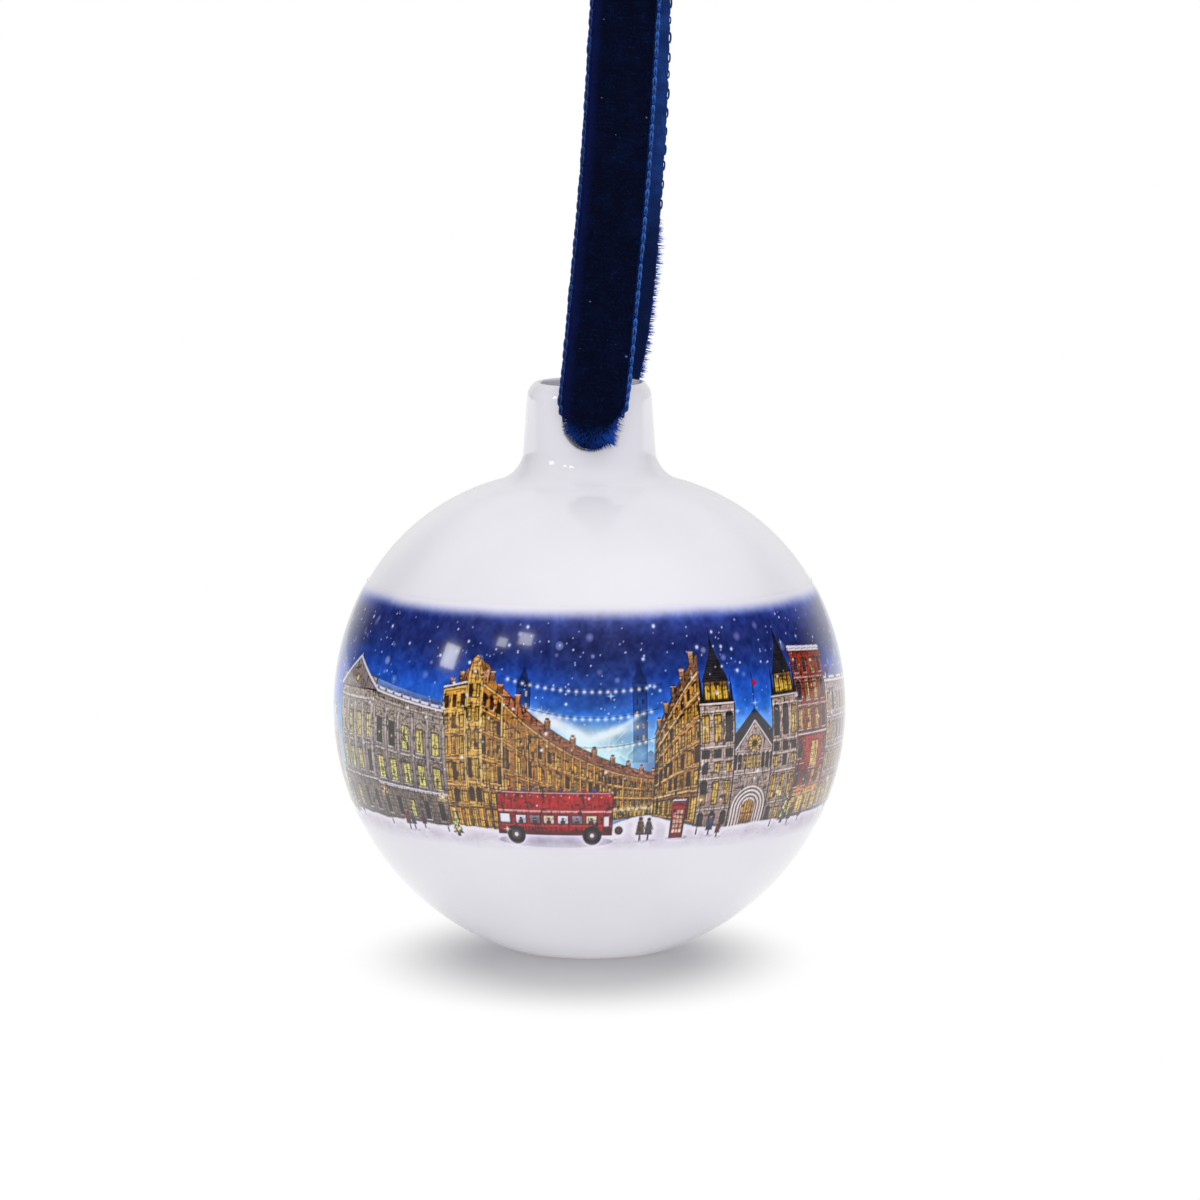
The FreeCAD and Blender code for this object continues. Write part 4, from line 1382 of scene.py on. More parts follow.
def finish_print(art):
    """Pen strokes and drying edges of the fronts, a fine press grain, and edges that fade into the glaze."""
    part, u, z = art.whole()
    rgb = art.rgb
    warm = np.clip((rgb[..., 0] - rgb[..., 2]) * 5 + 0.25, 0, 1)
    front = warm * (rgb.min(axis=2) < 0.72) * (z > GROUND + 0.6)
    for size, squash, strength in ((0.2, 4, 0.8), (0.8, 0.2, 0.55), (0.3, 1.3, 0.3)):
        strokes = np.clip((art.cloud(size, squash) - 0.7) * 5, 0, 1)
        art.lay(part, soften(front.astype(np.float32), 3) * strokes, INK, strength)
    light = rgb.mean(axis=2)
    near, wide = soften(light, 5), soften(light, 19)
    rgb *= (1 - np.clip((near - light) * 1.8, 0, 0.75) + np.clip(light - near, 0, 1) * 1.9)[..., None]
    rgb *= (1 + np.clip((light - wide) * 1.15, -0.45, 0.6))[..., None]
    grey = rgb.mean(axis=2, keepdims=True)
    rgb += (rgb - grey) * (0.24 * front)[..., None]
    rgb /= np.maximum(rgb.max(axis=2, keepdims=True), 1)
    rgb *= (1 - 0.09 * front)[..., None]
    np.clip(rgb, 0.02, 1, out=rgb)
    ink = 1 - rgb.min(axis=2)
    wash = 0.16 * (art.cloud(1.1) - 0.5) + 0.12 * (art.cloud(0.42) - 0.5)
    grain = 0.03 * np.sin(2 * math.pi * (u * 0.82 + z) / 0.36)
    rgb += (np.sqrt(ink) * (wash + grain))[..., None].astype(np.float32) * (0.35 + rgb)
    edge = 15 + 0.4 * art.cloud(15)[0] + 0.2 * art.cloud(5)[1]
    art.lay(part, smooth(np.clip((z - edge[None, :]) / 2.1, 0, 1)), "fcfbfe")
    art.lay(part, np.clip((art.low + 1.6 - z) / 1.6, 0, 1), "fefeff")
    np.clip(rgb, 0, 1, out=rgb)


def picture_pieces(settings):
    """Six sheets of the print, each a fine grid on the ball with its colour at every point."""
    art = paint_town(settings)
    rows, cells = art.cell_rows, art.cells
    cell_colour = art.rgb.reshape(rows, 2, cells, 2, 3).mean(axis=(1, 3))
    linear = np.where(cell_colour <= 0.04045, cell_colour / 12.92, ((cell_colour + 0.055) / 1.055) ** 2.4)
    linear /= 0.8 + 0.2 * linear.min(axis=2, keepdims=True)
    heights = art.low + (np.arange(rows) + 0.5) * (art.high - art.low) / rows
    tall = np.concatenate([heights[:1], heights, heights[-1:]])[:, None]
    radius = np.full((rows + 2, 1), BALL_R + 0.06)
    radius[[0, -1]] = BALL_R - 0.04
    flat = np.sqrt(radius**2 - tall**2)
    around = cells // 6
    pieces = []
    for number, name in enumerate(("back_left", "left", "front_left", "front_right", "right", "back_right")):
        columns = np.arange(number * around, (number + 1) * around + 1)
        turn = 2 * np.pi * (columns + 0.5) / cells - np.pi
        shades = np.ones((rows + 2, len(columns), 4), np.float32)
        shades[1:-1, :, :3] = linear[:, columns % cells]
        shades[0], shades[-1] = shades[1], shades[-2]
        points = np.stack(
            [flat * np.sin(turn), -flat * np.cos(turn), np.broadcast_to(tall, shades.shape[:2])], -1
        )
        points = points.reshape(-1, 3)
        piece = mesh_piece(f"picture_{name}", points + BALL_CENTRE, grid_faces(rows + 2, len(columns)))
        mark(piece, "print", shades, "FLOAT_COLOR")
        normals = points / np.linalg.norm(points, axis=1, keepdims=True)
        piece.data.normals_split_custom_set_from_vertices(normals.tolist())
        pieces.append(piece)
    return pieces


def print_material(china):
    """The fired transfer: its colours over the white glaze, a little thicker where it is inked."""
    made, tree = material("fired_print_under_glaze", (0.06, 0.09, 0.3))
    place_on = object_place(tree)
    tint = attribute(tree, "print", "Color")
    ink = 1 - tree.node("ShaderNodeRGBToBW", Color=tint)
    body = tree.node(
        "ShaderNodeMix", {"data_type": "RGBA", "blend_type": "MULTIPLY"}, out="Result_Color", Factor_Float=1,
        A_Color=tint, B_Color=opaque(china.glaze),
    )
    height = ink.between(0.05, 0.6) * 0.5 + place_on.noise(95, 2) * 2
    rough = 0.075 + place_on.noise(160, 2) * 0.035 + ink * 0.05
    principled(
        tree, bump=height, strength=0.2, distance=0.00006, Base_Color=body, Roughness=rough, IOR=1.5,
        Coat_Weight=0.5, Coat_Roughness=0.03, Specular_IOR_Level=0.5,
    )
    return made


# ------------------------------------------------------------------ velvet ribbon

# The loop's control points: x from the ball's axis, y, and z from the origin under the crest.
ROUTE = (
    (0.3, 0.0, -76.9), (0.2, -4.2, -76.9), (0.25, -8.0, -77.2), (0.3, -10.3, -78.2), (0.4, -10.6, -75.3),
    (0.42, -10.3, -73.0), (0.75, -10.1, -70.0), (1.2, -9.85, -66.0), (1.97, -9.25, -57.4),
    (2.79, -8.45, -49.1),
    (3.5, -7.65, -40.8), (4.05, -6.95, -32.6), (4.5, -6.25, -24.3), (5.0, -5.6, -16.0), (5.5, -5.35, -8.5),
    (6.1, -5.2, -1.6), (6.75, -2.3, 0.75), (7.1, 2.3, 0.75), (7.0, 5.2, -1.6), (6.6, 5.35, -8.5),
    (6.3, 5.6, -16.5), (6.1, 6.35, -25.5), (5.8, 7.05, -34.0), (5.3, 7.75, -42.0), (4.7, 8.6, -51.0),
    (4.0, 9.35, -59.0), (3.1, 9.9, -65.5), (2.2, 10.15, -69.5), (1.3, 10.35, -72.8), (0.7, 10.5, -75.0),
    (0.4, 10.35, -77.35), (0.35, 8.0, -76.95), (0.35, 4.2, -76.9), (0.3, 0.0, -76.9),
)
BACK_FACE, WOVEN_FACE, PILE_FACE = -0.55, -0.12, 0.42
# Distances along the loop, from the middle of the neck up the front leg and down the back one.
OPEN_LOOPS_START, BACK_FRINGE_START = 101, 142
NECK_EXIT = (AXIS_X, -8.6, -76.9)


def spline_points(controls, resolution):
    """Points along a smooth spline through its ends, as metres, ready for a mesh to follow."""
    curve = bpy.data.curves.new("route", "CURVE")
    curve.dimensions = "3D"
    curve.resolution_u = resolution
    spline = curve.splines.new("NURBS")
    spline.points.add(len(controls) - 1)
    for point, control in zip(spline.points, controls):
        point.co = (*control, 1.0)
    spline.order_u = 3
    spline.use_endpoint_u = True
    route = linked("route", curve)
    mesh = bpy.data.meshes.new_from_object(route.evaluated_get(bpy.context.evaluated_depsgraph_get()))
    points = np.empty(len(mesh.vertices) * 3, np.float32)
    mesh.vertices.foreach_get("co", points)
    bpy.data.meshes.remove(mesh)
    discard(route)
    return points.reshape(-1, 3)


def unit(vectors):
    return vectors / np.linalg.norm(vectors, axis=1, keepdims=True)


def ramp(values, start, span):
    """0 before start, 1 a span later, straight between."""
    return np.clip((values - start) / span, 0, 1)


def hump(values, centre, reach):
    return np.exp(-(((values - centre) / reach) ** 2))


class Strip:
    """The ribbon's line with its frame at every row: along, across (to the right) and out (the pile's side).

    run is the distance along the loop, and near the distance from its ends at the middle of the neck.
    """

    def __init__(self):
        self.path = spline_points([((x + AXIS_X) * MM, y * MM, z * MM) for x, y, z in ROUTE], 22)
        points = self.path.astype(float) / MM
        keep = np.ones(len(points), bool)
        keep[1:] = np.linalg.norm(np.diff(points, axis=0), axis=1) > 0.02
        self.points = points = points[keep]
        self.along = along = unit(np.gradient(points, axis=0))
        self.across = unit(np.array([1.0, 0, 0]) - along * along[:, :1])
        self.out = np.cross(self.across, along)
        self.run = np.concatenate([[0], np.cumsum(np.linalg.norm(np.diff(points, axis=0), axis=1))])
        self.total = self.run[-1]
        self.near = np.minimum(self.run, self.total - self.run)
        self.curl = 0.42 * ramp(-self.near, -14.2, 4.4) ** 0.9 + 1e-5
        self.pinch = smooth(ramp(-self.near, -16.4, 4.8))
        self.lift = 0.10 * hump(self.near, 11.6, 1.8)

    def place(self, rows, across, out):
        """Points at those rows, so far across the ribbon's width and so far out of its line."""
        curl = self.curl[rows]
        across = across * (1 - self.pinch[rows] * np.where(across > 0, 0.42, 0.20))
        reach = 1 / curl + out
        side, rise = np.sin(across * curl) * reach, np.cos(across * curl) * reach - 1 / curl
        points = self.points[rows] + self.across[rows] * side[..., None] + self.out[rows] * rise[..., None]
        points[:, 2] += self.lift[rows] * across**2
        return points

    def grid(self, rows, stops):
        """Every row beside every stop across it, as two flat arrays."""
        return np.repeat(rows, len(stops)), np.tile(stops, len(rows))


def section(ribbon):
    """The section from the left edge over the pile and back: (across, out, side), side 1 on the pile."""
    half = ribbon.width / MM / 2
    woven = half - ribbon.selvedge / MM
    crown = [
        (-half, -0.30, 0.5), (-half + 0.06, WOVEN_FACE - 0.02, 0.5), (-half + 0.35, WOVEN_FACE, 0.5),
        (-woven - 0.02, WOVEN_FACE, 0.5), (-woven + 0.10, 0.16, 1.0), (-woven + 0.30, 0.33, 1.0),
        (-woven + 0.62, PILE_FACE, 1.0),
    ]
    inner = [(share * (woven - 0.62), PILE_FACE, 1.0) for share in np.linspace(-1, 1, 13)[1:-1]]
    right = [(-across, out, side) for across, out, side in crown[::-1]]
    back = [(share * (half - 0.12), BACK_FACE, 0.0) for share in np.linspace(1, -1, 11)]
    return np.array(crown + inner + right + back)


def velvet_strip(strip, ribbon, rows, name, shift=0.0):
    """A length of ribbon along those rows of the line, shift further out, with its weave's coordinates."""
    outline = section(ribbon)
    count = len(outline)
    grid_rows, across = strip.grid(rows, outline[:, 0])
    out, side = np.tile(outline[:, 1:], (len(rows), 1)).T
    run = strip.run[grid_rows]
    nap = (side > 0.9) & (out > 0.2)
    wave = 0.05 * np.sin(run * 0.9 + across * 1.1) + 0.035 * np.sin(run * 2.3 - across * 1.9 + 1.0)
    edge_wave = 0.05 * np.sin(run * 2 * np.pi / 2.8) * (np.abs(across) > ribbon.width / MM / 2 - 0.1)
    points = strip.place(grid_rows, across + edge_wave * np.sign(across), out + shift + wave * nap)
    faces = grid_faces(len(rows), count, closed=True).tolist()
    last = (len(rows) - 1) * count
    piece = mesh_piece(name, points, faces + [list(range(count))[::-1], list(range(last, last + count))])
    for key, values in (("across", across), ("run", run), ("side", side)):
        mark(piece, key, values)
    return piece


def fuzz_density(strip, rows, across):
    """How thickly the long fibres stand, from 0 to 1: at the fold under each hole and along the back leg."""
    run, near = strip.run[rows], strip.near[rows]
    fold, edge = hump(near, 11.3, 1.7), hump(np.abs(across), 4.25, 0.4)
    right = ramp(across, 0, 4.0) ** 2
    tongue = ramp(-near, -16.8, 4) * ramp(near, 9.0, 1.0)
    back = ramp(run, BACK_FRINGE_START, 5) * ramp(strip.total - run, 10, 3)
    fringe = tongue * (0.25 + 0.75 * right) + back * (across > 0) * (0.88 + 0.12 * np.sin(run * 5.3))
    return np.clip(fold * (0.5 + 0.5 * right) + edge * fringe, 0, 1)


def fuzz_sweep(strip, rows, across, points):
    """Which way the long fibres are brushed: out round the tongue, and outward over the back leg's edge."""
    fan = points - np.array([AXIS_X + 0.2, 0.0, -73.6])
    fan[:, 1] = 0.0
    tongue = ramp(-strip.near[rows], -17.0, 3)[:, None]
    outward = strip.across[rows] * (3.0 * np.sign(across) * (strip.run[rows] > strip.total / 2))[:, None]
    return unit(fan) * tongue * 1.5 + outward * (1 - tongue)


def pile_tree():
    """Geometry Nodes: loose fibre tips over the pile, leaning every way, longest where it folds."""
    tree, entry, value = geometry_tree(
        "pile_tips", Density="Float", Reach="Float", Thickness="Float", Seed="Int", Finish="Material"
    )
    skin = entry.outputs("Geometry")[0]
    fuzz, nap = named(entry, "fuzz"), named(entry, "nap")
    spread = skin.node(
        "GeometryNodeDistributePointsOnFaces", {"distribute_method": "RANDOM"}, out="Points", Mesh=skin,
        Density=value["Density"] * 1e6 * nap * (fuzz * 1.7 + 1.0), Seed=value["Seed"],
    )
    normal = spread.outputs("Normal")[0]
    lean = entry.node(
        "FunctionNodeRandomValue", {"data_type": "FLOAT_VECTOR"}, out="Value", Min=(-0.55, -0.55, -0.65),
        Max=(0.55, 0.55, 0.45), Seed=7,
    )
    brushed = entry.node(
        "ShaderNodeVectorMath", {"operation": "SCALE"}, out="Vector",
        _0=named(entry, "sweep", "FLOAT_VECTOR"), Scale=fuzz
    )
    aim = normal
    for push in (lean, brushed):
        aim = entry.node("ShaderNodeVectorMath", {"operation": "ADD"}, out="Vector", _0=aim, _1=push)
    turned = entry.node("FunctionNodeAlignRotationToVector", {"axis": "Z"}, out="Rotation", Vector=aim)
    fibre = entry.node("GeometryNodeMeshCone", {"fill_type": "NONE"}, out="Mesh", Vertices=3, Depth=1.0, **{
        "Side Segments": 1, "Radius Top": 0.0, "Radius Bottom": 1.0,
    })
    fibre = store(fibre, "tip", entry.node("GeometryNodeInputPosition", out="Position").parts()[2])
    tall = value["Reach"] * chance(entry, 0.5, 1.0, 9) * (fuzz * 3.9 + 1.0)
    wide = value["Thickness"] * (fuzz * 1.7 + 1.0)
    # fan and shade feed the fibres' painted light: fan where they stand long, shade a random share for each
    # fibre.
    spread = store(store(spread, "fan", fuzz), "shade", chance(entry, 0.0, 1.0, 13))
    copies = spread.node(
        "GeometryNodeInstanceOnPoints", out="Instances", Points=spread, Instance=fibre, Rotation=turned,
        Scale=entry.node("ShaderNodeCombineXYZ", X=wide, Y=wide, Z=tall),
    )
    close_tree(copies, value["Finish"])
    return tree


def loop_tree():
    """Geometry Nodes: a small loop of thread at every point of a carrier, along it and standing out of it."""
    tree, entry, value = geometry_tree(
        "thread_loops", Width="Float", Rise="Float", Thickness="Float", Bends="Int", Finish="Material"
    )
    points = entry.outputs("Geometry")[0]
    arch, ring = (
        entry.node("GeometryNodeCurvePrimitiveCircle", {"mode": "RADIUS"}, out="Curve", Resolution=steps,
                   Radius=radius)
        for steps, radius in ((value["Bends"], 1.0), (5, value["Thickness"]))
    )
    scale = entry.node("ShaderNodeCombineXYZ", X=value["Width"], Y=value["Rise"], Z=1.0)
    arch = arch.node("GeometryNodeTransform", Geometry=arch, Scale=scale)
    thread = arch.node("GeometryNodeCurveToMesh", Curve=arch, **{"Profile Curve": ring})
    across = entry.node("GeometryNodeInputPosition", out="Position").parts()[0]
    # crown, from -1 to 1 along each loop, places the thread's painted highlight.
    thread = store(thread, "crown", across * value["Width"] ** -1.0)
    turned = entry.node(
        "FunctionNodeAlignRotationToVector", {"axis": "X"}, out="Rotation",
        Vector=named(entry, "along", "FLOAT_VECTOR"),
    )
    turned = entry.node(
        "FunctionNodeAlignRotationToVector", {"axis": "Y", "pivot_axis": "X"}, out="Rotation",
        Rotation=turned, Vector=named(entry, "beside", "FLOAT_VECTOR"),
    )
    size = named(entry, "size")
    copies = points.node(
        "GeometryNodeInstanceOnPoints", out="Instances", Points=points, Instance=thread, Rotation=turned,
        Scale=entry.node("ShaderNodeCombineXYZ", X=size, Y=size, Z=1.0),
    )
    close_tree(copies, value["Finish"])
    return tree


def thread_loops(name, finish, width, rise, thickness, points, along, beside, size, painted_shine):
    """Loops of thread at those points, as one piece."""
    mesh = bpy.data.meshes.new("loop_points")
    mesh.from_pydata((np.asarray(points) * MM).tolist(), [], [])
    stand = linked("loop_points", mesh)
    for key, values in (("along", along), ("beside", beside), ("size", size), ("painted_shine", painted_shine)):
        mark(stand, key, values, "FLOAT_VECTOR" if np.ndim(values) == 2 else "FLOAT")
    return grow(
        name, stand, loop_tree(), Width=width * MM, Rise=rise * MM, Thickness=thickness * MM, Bends=12,
        Finish=finish
    )


def velvet_material(ribbon):
    """Deep navy cut pile with painted sheen, woven edges with a blue thread painted lighter on the right, and
    the plain woven back with painted shade low down.
    """
    made, tree = material("navy_velvet_ribbon", ribbon.velvet)
    place_on = object_place(tree)
    across, run, side = (attribute(tree, name) for name in ("across", "run", "side"))
    half = ribbon.width / MM / 2
    pile, woven = side.between(0.8, 0.98), side.between(0.2, 0.45)
    crush, nap = place_on.noise(420.0, 4.0, 0.6), place_on.noise(4200.0, 2.0, 0.7)
    ribs = (run * (2 * math.pi / 0.42)).wave()
    warp = (across * (2 * math.pi / 0.22)).wave()
    creases = tree.node("ShaderNodeCombineXYZ", X=across * 0.35, Y=run * 2.6, Z=side).noise(1.0, 3.0, 0.6)
    # Painted sheen: the pile's crush marks and creases, and most of all the fold under the front hole, are
    # mixed toward the lit tip colour.
    streaks = nap.between(0.48, 0.72) * (0.05 + creases.between(0.42, 0.72) * 0.26)
    lit = crush.between(0.42, 0.75) * 0.05 + streaks
    fold = 1.0 - run.between(10.5, 16.0)
    body = (lit + fold * crush.between(0.4, 0.65) * (0.02 + nap * 0.45)).mix(ribbon.velvet, ribbon.tips)
    # Painted sheen: a bluer band along the pile's left edge, where it rolls over toward the woven edge.
    body = ((0.0 - across).between(half - 2.1, half - 0.6) * 0.30).mix(body, (0.008, 0.014, 0.12))
    body = (place_on.noise(1900.0, 0.0).between(0.87, 0.885) * 0.6).mix(body, (0.20, 0.22, 0.32))
    thread = ((run * (2 * math.pi / 1.4)).wave() * 0.7 + 0.3) * abs(across).between(half - 0.42, half - 0.12)
    # Painted light: the right woven edge is lighter and bluer, with its thread shining, and the left one a dim
    # violet navy, as if lit from the right.
    right = across.between(0.0, 0.1)
    edge = right.mix((0.006, 0.010, 0.075), (0.002, 0.015, 0.12))
    edge = (ribs * 0.35).mix(edge, [value * 0.03 for value in ribbon.edge])
    edge = (thread * right * 0.12).mix(edge, ribbon.edge)
    back = (warp * 0.4 + crush.between(0.35, 0.7) * 0.6).mix((0.006, 0.022, 0.108), (0.018, 0.064, 0.28))
    # Painted shade: the woven back darkens from halfway down the back leg to the neck.
    back = (run.between(136.0, 151.0) * 0.85).mix(back, (0.0025, 0.006, 0.034))
    height = pile * (nap * 0.8 + crush * 0.8 + creases * 0.5) + (1.0 - pile) * (ribs * 0.5 + warp * 0.4)
    principled(
        tree, bump=height, strength=0.55, distance=0.00012, Base_Color=woven.mix(back, pile.mix(edge, body)),
        Roughness=0.92 - (1.0 - pile) * 0.25, Sheen_Weight=0.035, Sheen_Roughness=0.35,
        Sheen_Tint=(0.08, 0.22, 0.75, 1.0), Specular_IOR_Level=0.04,
    )
    return made


def fibre_material(ribbon):
    """One loose fibre, dark at its root and bluer at its tip as painted shade and light, most where it fans
    out.
    """
    made, tree = material("velvet_pile_tips", ribbon.tips)
    tip, fan, shade = (attribute(tree, name) for name in ("tip", "fan", "shade"))
    # Painted light: a few random tips are lightened, and the long fanned fibres take the lit tip colour.
    sparse = tip.between(0.2, 0.9) * shade * shade * shade * 0.064
    lit = tip.between(-0.1, 0.5) * fan * (0.25 + shade * 0.65) + sparse
    # Painted backlight: fibres behind the ball's axis, on the back leg, are made lighter still.
    painted_backlight = object_place(tree).parts()[1].between(0.002, 0.004)
    body = (lit * (1.0 + painted_backlight * 0.7)).mix(ribbon.velvet, [value * 5.0 for value in ribbon.tips])
    grain = object_place(tree).noise(3000.0, 2.0)
    body = (grain.between(0.4, 0.7) * 0.4).mix(body, ribbon.velvet)
    principled(
        tree, bump=grain, strength=0.2, distance=0.00003, Base_Color=body, Roughness=0.8 - lit * 0.2,
        Sheen_Weight=0.03, Sheen_Roughness=0.4, Sheen_Tint=(0.1, 0.28, 0.8, 1.0), Specular_IOR_Level=0.06,
    )
    return made


def thread_material(name, tint, pitch):
    """Twisted thread with a soft painted shine along its plies, strongest near one end of each loop."""
    made, tree = material(name, tint)
    place_on = object_place(tree)
    x, y, z = place_on.parts()
    plies = ((x + y * 0.8 + z * 1.3) * (2 * math.pi / pitch)).wave()
    fuzz = place_on.noise(5200.0, 2.0)
    # Painted highlight near one end of each loop, scaled per loop by its painted brightness.
    crown = attribute(tree, "crown").between(-0.35, 0.75)
    shine = (plies * 0.3 + fuzz * 0.2 + crown * 0.5) * (attribute(tree, "painted_shine") * 0.85 + 0.15)
    principled(
        tree, bump=plies + fuzz * 0.5, strength=0.6, distance=0.00004,
        Base_Color=shine.mix((0.006, 0.013, 0.085), tint),
        Roughness=0.62 + fuzz * 0.2, Sheen_Weight=0.06, Sheen_Roughness=0.4, Sheen_Tint=(0.2, 0.45, 1.0, 1.0),
        Specular_IOR_Level=0.2,
    )
    return made


def build_pile(strip, ribbon):
    """Loose fibre tips over the pile of the whole loop outside the neck."""
    half = ribbon.width / MM / 2 - 0.3
    woven = half + 0.3 - ribbon.selvedge / MM
    rows, stops = np.flatnonzero(strip.near > 9.6), np.linspace(-half, half, 25)
    grid_rows, across = strip.grid(rows, stops)
    points = strip.place(grid_rows, across, PILE_FACE - 0.25 - 0.35 * ramp(np.abs(across), half - 0.5, 0.5))
    field = mesh_piece("pile_field", points, grid_faces(len(rows), len(stops)))
    mark(field, "fuzz", fuzz_density(strip, grid_rows, across))
    mark(field, "sweep", fuzz_sweep(strip, grid_rows, across, points), "FLOAT_VECTOR")
    back_fringe = (strip.run[grid_rows] > BACK_FRINGE_START) & (across > 0)
    mark(field, "nap", (np.abs(across) < woven) | back_fringe)
    return grow(
        "velvet_pile", field, pile_tree(), Density=ribbon.pile_density, Reach=ribbon.pile,
        Thickness=0.045 * MM, Seed=4, Finish=fibre_material(ribbon),
    )


def build_edges(strip, ribbon):
    """The looped thread along both woven edges, with a few open loops on the back leg's right edge."""
    pitch, half_way = ribbon.scallop / MM, strip.total / 2
    runs = np.arange(9.8, strip.total - 9.8, pitch)
    rows = np.clip(np.searchsorted(strip.run, runs), 0, len(strip.run) - 1)
    parts = []
    for side in (-1, 1):
        across = np.full(len(runs), side * (ribbon.width / MM / 2 - 0.20))
        turn = (across * strip.curl[rows])[:, None]
        beside = (strip.across[rows] * np.cos(turn) - strip.out[rows] * np.sin(turn)) * side
        upper, even = runs < BACK_FRINGE_START + 1, np.arange(len(runs)) % 2 == 0
        open_loop = (side > 0) & (runs > OPEN_LOOPS_START) & upper & even
        points = strip.place(rows, across, -0.14) + beside * np.where(open_loop, 0.20, 0.0)[:, None]
        swell = 1 + 0.12 * np.sin(runs * 1.7) + 0.10 * np.sin(runs * 4.1 + side)
        # Painted light: loops shine most on the front leg's right edge, less on its left, less on the back leg
        # and least low on it.
        painted_side_shine = 0.25 if side < 0 else 1.0
        painted_shine = painted_side_shine * (runs < half_way) + 0.4 * (runs > half_way) * upper
        parts.append((points, strip.along[rows], beside, swell, painted_shine))
    finish = thread_material("navy_edge_thread", tuple(ribbon.edge), 0.0005)
    return thread_loops(
        "ribbon_edge_loops", finish, 0.50 * pitch, 0.16, 0.13, *map(np.concatenate, zip(*parts))
    )


def build_lap(strip, ribbon, finish):
    """The ribbon's other end, folded under the back leg just below the crest, with a cut edge."""
    z, y = strip.points[:, 2], strip.points[:, 1]
    rows = np.flatnonzero((y > 0) & (z < -3.9) & (z > -14.0))
    lap = velvet_strip(strip, ribbon, rows, "ribbon_lap_end", shift=-0.97)
    lap.data.materials.append(finish)
    return lap


def build_stitches(strip):
    """Two rows of short stitches across the lap."""
    z, y = strip.points[:, 2], strip.points[:, 1]
    rows = [int(np.flatnonzero((y > 0) & (z < height))[0]) for height in (-6.4, -11.4)]
    grid_rows, across = strip.grid(rows, np.linspace(-3.4, 3.4, 5))
    points = strip.place(grid_rows, across, PILE_FACE + 0.02)
    full = np.full(len(points), 0.95)
    finish = thread_material("navy_sewing_thread", (0.03, 0.09, 0.30), 0.0004)
    return thread_loops(
        "lap_stitch_rows", finish, 0.68, 0.22, 0.14, points, strip.across[grid_rows], strip.out[grid_rows],
        full, full
    )


# ------------------------------------------------------------------ operators

class BuildChina(bpy.types.Operator):
    """Turn the china ball with its neck and its two ribbon holes"""

    bl_idname = "bauble.china"
    bl_label = "China ball"

    def execute(self, context):
        china = context.scene.bauble_china
        piece = china_mesh(china)
        piece.data.materials.append(glaze_material(china))
        place(piece, "china_body", slot="china")
        return {"FINISHED"}


class BuildPicture(bpy.types.Operator):
    """Paint the winter street and lay it round the ball"""

    bl_idname = "bauble.picture"
    bl_label = "Fired picture"

    def execute(self, context):
        finish = print_material(context.scene.bauble_china)
        for piece in picture_pieces(context.scene.bauble_print):
            piece.data.materials.append(finish)
            place(piece, "picture_band", slot="picture")
        return {"FINISHED"}


class BuildRibbon(bpy.types.Operator):
    """Run the velvet ribbon through the neck and up round its loop, with its pile, edges and sewn lap"""

    bl_idname = "bauble.ribbon"
    bl_label = "Velvet ribbon"

    def execute(self, context):
        ribbon = context.scene.bauble_ribbon
        strip = Strip()
        velvet = velvet_strip(strip, ribbon, np.arange(len(strip.run)), "velvet_ribbon")
        velvet.data.materials.append(velvet_material(ribbon))
        pieces = [build_pile(strip, ribbon), build_edges(strip, ribbon)]
        lap = build_lap(strip, ribbon, velvet.data.materials[0])
        stitches = build_stitches(strip)
        for piece in [velvet] + pieces:
            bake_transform(piece)
        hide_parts("ribbon_saddle", "ribbon_front_leg", "ribbon_back_leg", "ribbon_crest")
        place(lap, "ribbon_lap", body=TOP_BODY, slot="velvet")
        place(stitches, "lap_stitches", body=TOP_BODY, slot="thread")
        hole = tuple(float(v * MM) for v in NECK_EXIT)
        [tuple(map(float, point)) for point in strip.path]
        return {"FINISHED"}


# ------------------------------------------------------------------ stage

FLOOR_HALF = 3000
VIEW_RISE, VIEW_SHIFT = 14.5, 1.44
# name, direction (azimuth, elevation) in degrees, distance, size, power, the kind of ray that misses it
SOFTBOXES = (
    ("overhead", (170, 72), 0.70, (0.80, 0.70), 0.6, "glossy"),
    ("front_top", (0, 62), 0.70, (0.80, 0.60), 1.25, "glossy"),
    ("front_fill", (0, 10), 0.75, (0.70, 0.40), 1.0, "glossy"),
    ("left_window", (-69.5, 21.0), 0.75, (0.100, 0.115), 0.34, "diffuse"),
    ("left_small", (-45.0, 31.7), 0.9, (0.070, 0.060), 0.10, "diffuse"),
    ("left_round", (-33.2, 34.8), 0.9, (0.095, 0.080), 0.17, "diffuse"),
)


def softbox(name, direction, distance, size, power, misses, target, level):
    """A rectangular lamp that looks at the target from its direction."""
    azimuth, elevation = (math.radians(angle) for angle in direction)
    away = Vector((
        math.sin(azimuth) * math.cos(elevation), -math.cos(azimuth) * math.cos(elevation), math.sin(elevation)
    ))
    data = bpy.data.lights.new(name, "AREA")
    data.shape = "RECTANGLE"
    data.size, data.size_y = size
    data.energy = power * level
    data.spread = math.pi
    lamp = linked(name, data)
    lamp.location = target + away * distance
    lamp.rotation_euler = (-away).to_track_quat("-Z", "Y").to_euler()
    setattr(lamp, f"visible_{misses}", False)


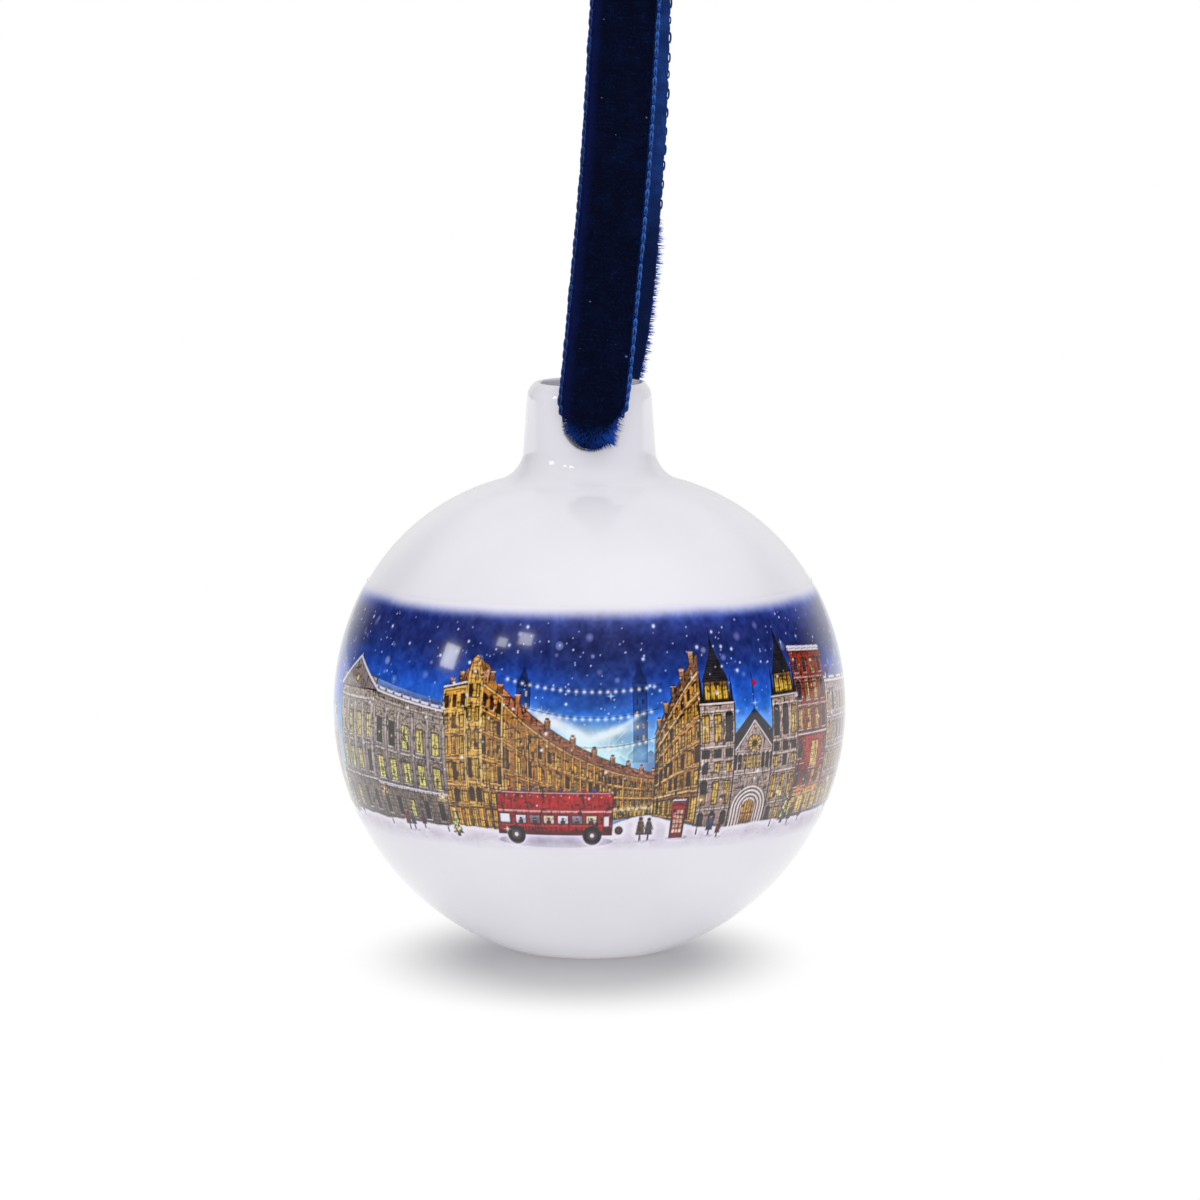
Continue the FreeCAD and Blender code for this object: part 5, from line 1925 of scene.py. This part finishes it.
def floor_material():
    """White paper to the eye and in reflections, with its own shade, deepened by a painted darker grey, left
    only round the ball's foot.
    """
    made, tree = material("pale_paper_floor", (0.9, 0.9, 0.9))
    # Painted shadow: a darker grey than the paper, which the eye sees only in the zone round the foot.
    diffuse = tree.node("ShaderNodeBsdfDiffuse", Color=(0.62, 0.62, 0.625, 1.0), out="BSDF")
    white = tree.node("ShaderNodeEmission", Color=(1, 1, 1, 1), Strength=1.0, out="Emission")
    seen = tree.node("ShaderNodeLightPath", out="Is Camera Ray")
    glossy, through = seen.outputs("Is Glossy Ray", "Is Transmission Ray")
    eye = (seen + glossy + through).clamp()
    x, y = object_place(tree).parts()[:2]
    reach = ((x - AXIS_X * MM + 0.001) ** 2.0 + ((y + 0.009) * 0.66) ** 2.0) ** 0.5
    lit = reach.between(0.012, 0.033)
    # Other rays see the floor glow white as painted bounce light, which lights the ball's underside.
    mixed = tree.node(
        "ShaderNodeMixShader", Fac=(eye * lit + (1.0 - eye) * 0.72).clamp(), _1=diffuse, _2=white
    )
    tree.node("ShaderNodeOutputMaterial", Surface=mixed)
    return made


def build_world():
    """White to the eye. In reflections, the white backdrop behind the ball and a dim room before it."""
    world = bpy.data.worlds.new("studio")
    bpy.context.scene.world = world
    world.use_nodes = True
    world.node_tree.nodes.clear()
    tree = Signal(world.node_tree)
    seen = tree.node("ShaderNodeLightPath", out="Is Camera Ray")
    glossy, through = seen.outputs("Is Glossy Ray", "Is Transmission Ray")
    side, behind, up = tree.node("ShaderNodeTexCoord", out="Generated").parts()
    overhead = behind.between(0.1, 0.6) * up.between(0.45, 0.7) * 0.6
    backdrop = ((behind + side * 0.10).between(0.50, 0.95) + overhead).clamp() * 0.78
    room = 0.68 - up.between(0.45, 0.95) * 0.28
    eye = (seen + through + glossy * backdrop).clamp()
    light, white = (
        tree.node("ShaderNodeBackground", Color=(1, 1, 1, 1), Strength=strength, out="Background")
        for strength in (0.71 - glossy * room, 1.0)
    )
    mixed = tree.node("ShaderNodeMixShader", Fac=eye, _1=light, _2=white)
    tree.node("ShaderNodeOutputWorld", Surface=mixed)


class BuildStage(bpy.types.Operator):
    """Set the camera, the floor, the world and the soft lamps"""

    bl_idname = "bauble.stage"
    bl_label = "Studio stage"

    def execute(self, context):
        stage = context.scene.bauble_stage
        scene = context.scene
        centre = Vector(BALL_CENTRE * MM)
        lift = stage.elevation
        back = Vector((0, -math.cos(lift), math.sin(lift)))
        up = Vector((0, math.sin(lift), math.cos(lift)))
        target = centre + up * (VIEW_RISE * MM) + Vector((VIEW_SHIFT * MM, 0, 0))
        data = bpy.data.cameras.new("camera")
        data.sensor_width = 36.0
        data.lens = 36.0 * stage.distance / stage.view_width
        data.clip_start, data.clip_end = 0.05, 20.0
        camera = linked("camera", data)
        camera.location = target + back * stage.distance
        camera.rotation_euler = back.to_track_quat("Z", "Y").to_euler()
        scene.camera = camera
        corners = ((-FLOOR_HALF, -FLOOR_HALF), (FLOOR_HALF, -FLOOR_HALF), (FLOOR_HALF, FLOOR_HALF),
                   (-FLOOR_HALF, FLOOR_HALF))
        corners = [(x, y, CHINA_LOW[2] - 0.02) for x, y in corners]
        floor = mesh_piece("studio_floor", corners, [(0, 1, 2, 3)], smooth=False)
        floor.data.materials.append(floor_material())
        build_world()
        for row in SOFTBOXES:
            softbox(*row, centre, stage.lamp_level)
        scene.view_settings.view_transform = "Standard"
        return {"FINISHED"}


class BaublePanel(bpy.types.Panel):
    """Lists the pieces and the sizes and colours behind them"""

    bl_idname = "VIEW3D_PT_bauble"
    bl_label = "Ribbon Bauble"
    bl_space_type = "VIEW_3D"
    bl_region_type = "UI"
    bl_category = "Bauble"

    def draw(self, context):
        layout = self.layout
        for operator, (name, _) in zip(OPERATORS, SETTINGS):
            box = layout.box()
            box.operator(operator.bl_idname)
            group = getattr(context.scene, name)
            for key in group.bl_rna.properties.keys():
                if key not in ("rna_type", "name"):
                    box.prop(group, key)


OPERATORS = (BuildChina, BuildPicture, BuildRibbon, BuildStage)
SETTINGS = (
    ("bauble_china", ChinaSettings), ("bauble_print", PrintSettings), ("bauble_ribbon", RibbonSettings),
    ("bauble_stage", StageSettings),
)


def register():
    for name, group in SETTINGS:
        bpy.utils.register_class(group)
        setattr(bpy.types.Scene, name, bpy.props.PointerProperty(type=group))
    for made in OPERATORS + (BaublePanel,):
        bpy.utils.register_class(made)


def unregister():
    for made in (BaublePanel,) + OPERATORS[::-1]:
        bpy.utils.unregister_class(made)
    for name, group in SETTINGS[::-1]:
        delattr(bpy.types.Scene, name)
        bpy.utils.unregister_class(group)


def main():
    register()
    bpy.ops.bauble.stage()
    bpy.ops.bauble.ribbon()
    bpy.ops.bauble.china()
    bpy.ops.bauble.picture()


if __name__ == "__main__":
    main()
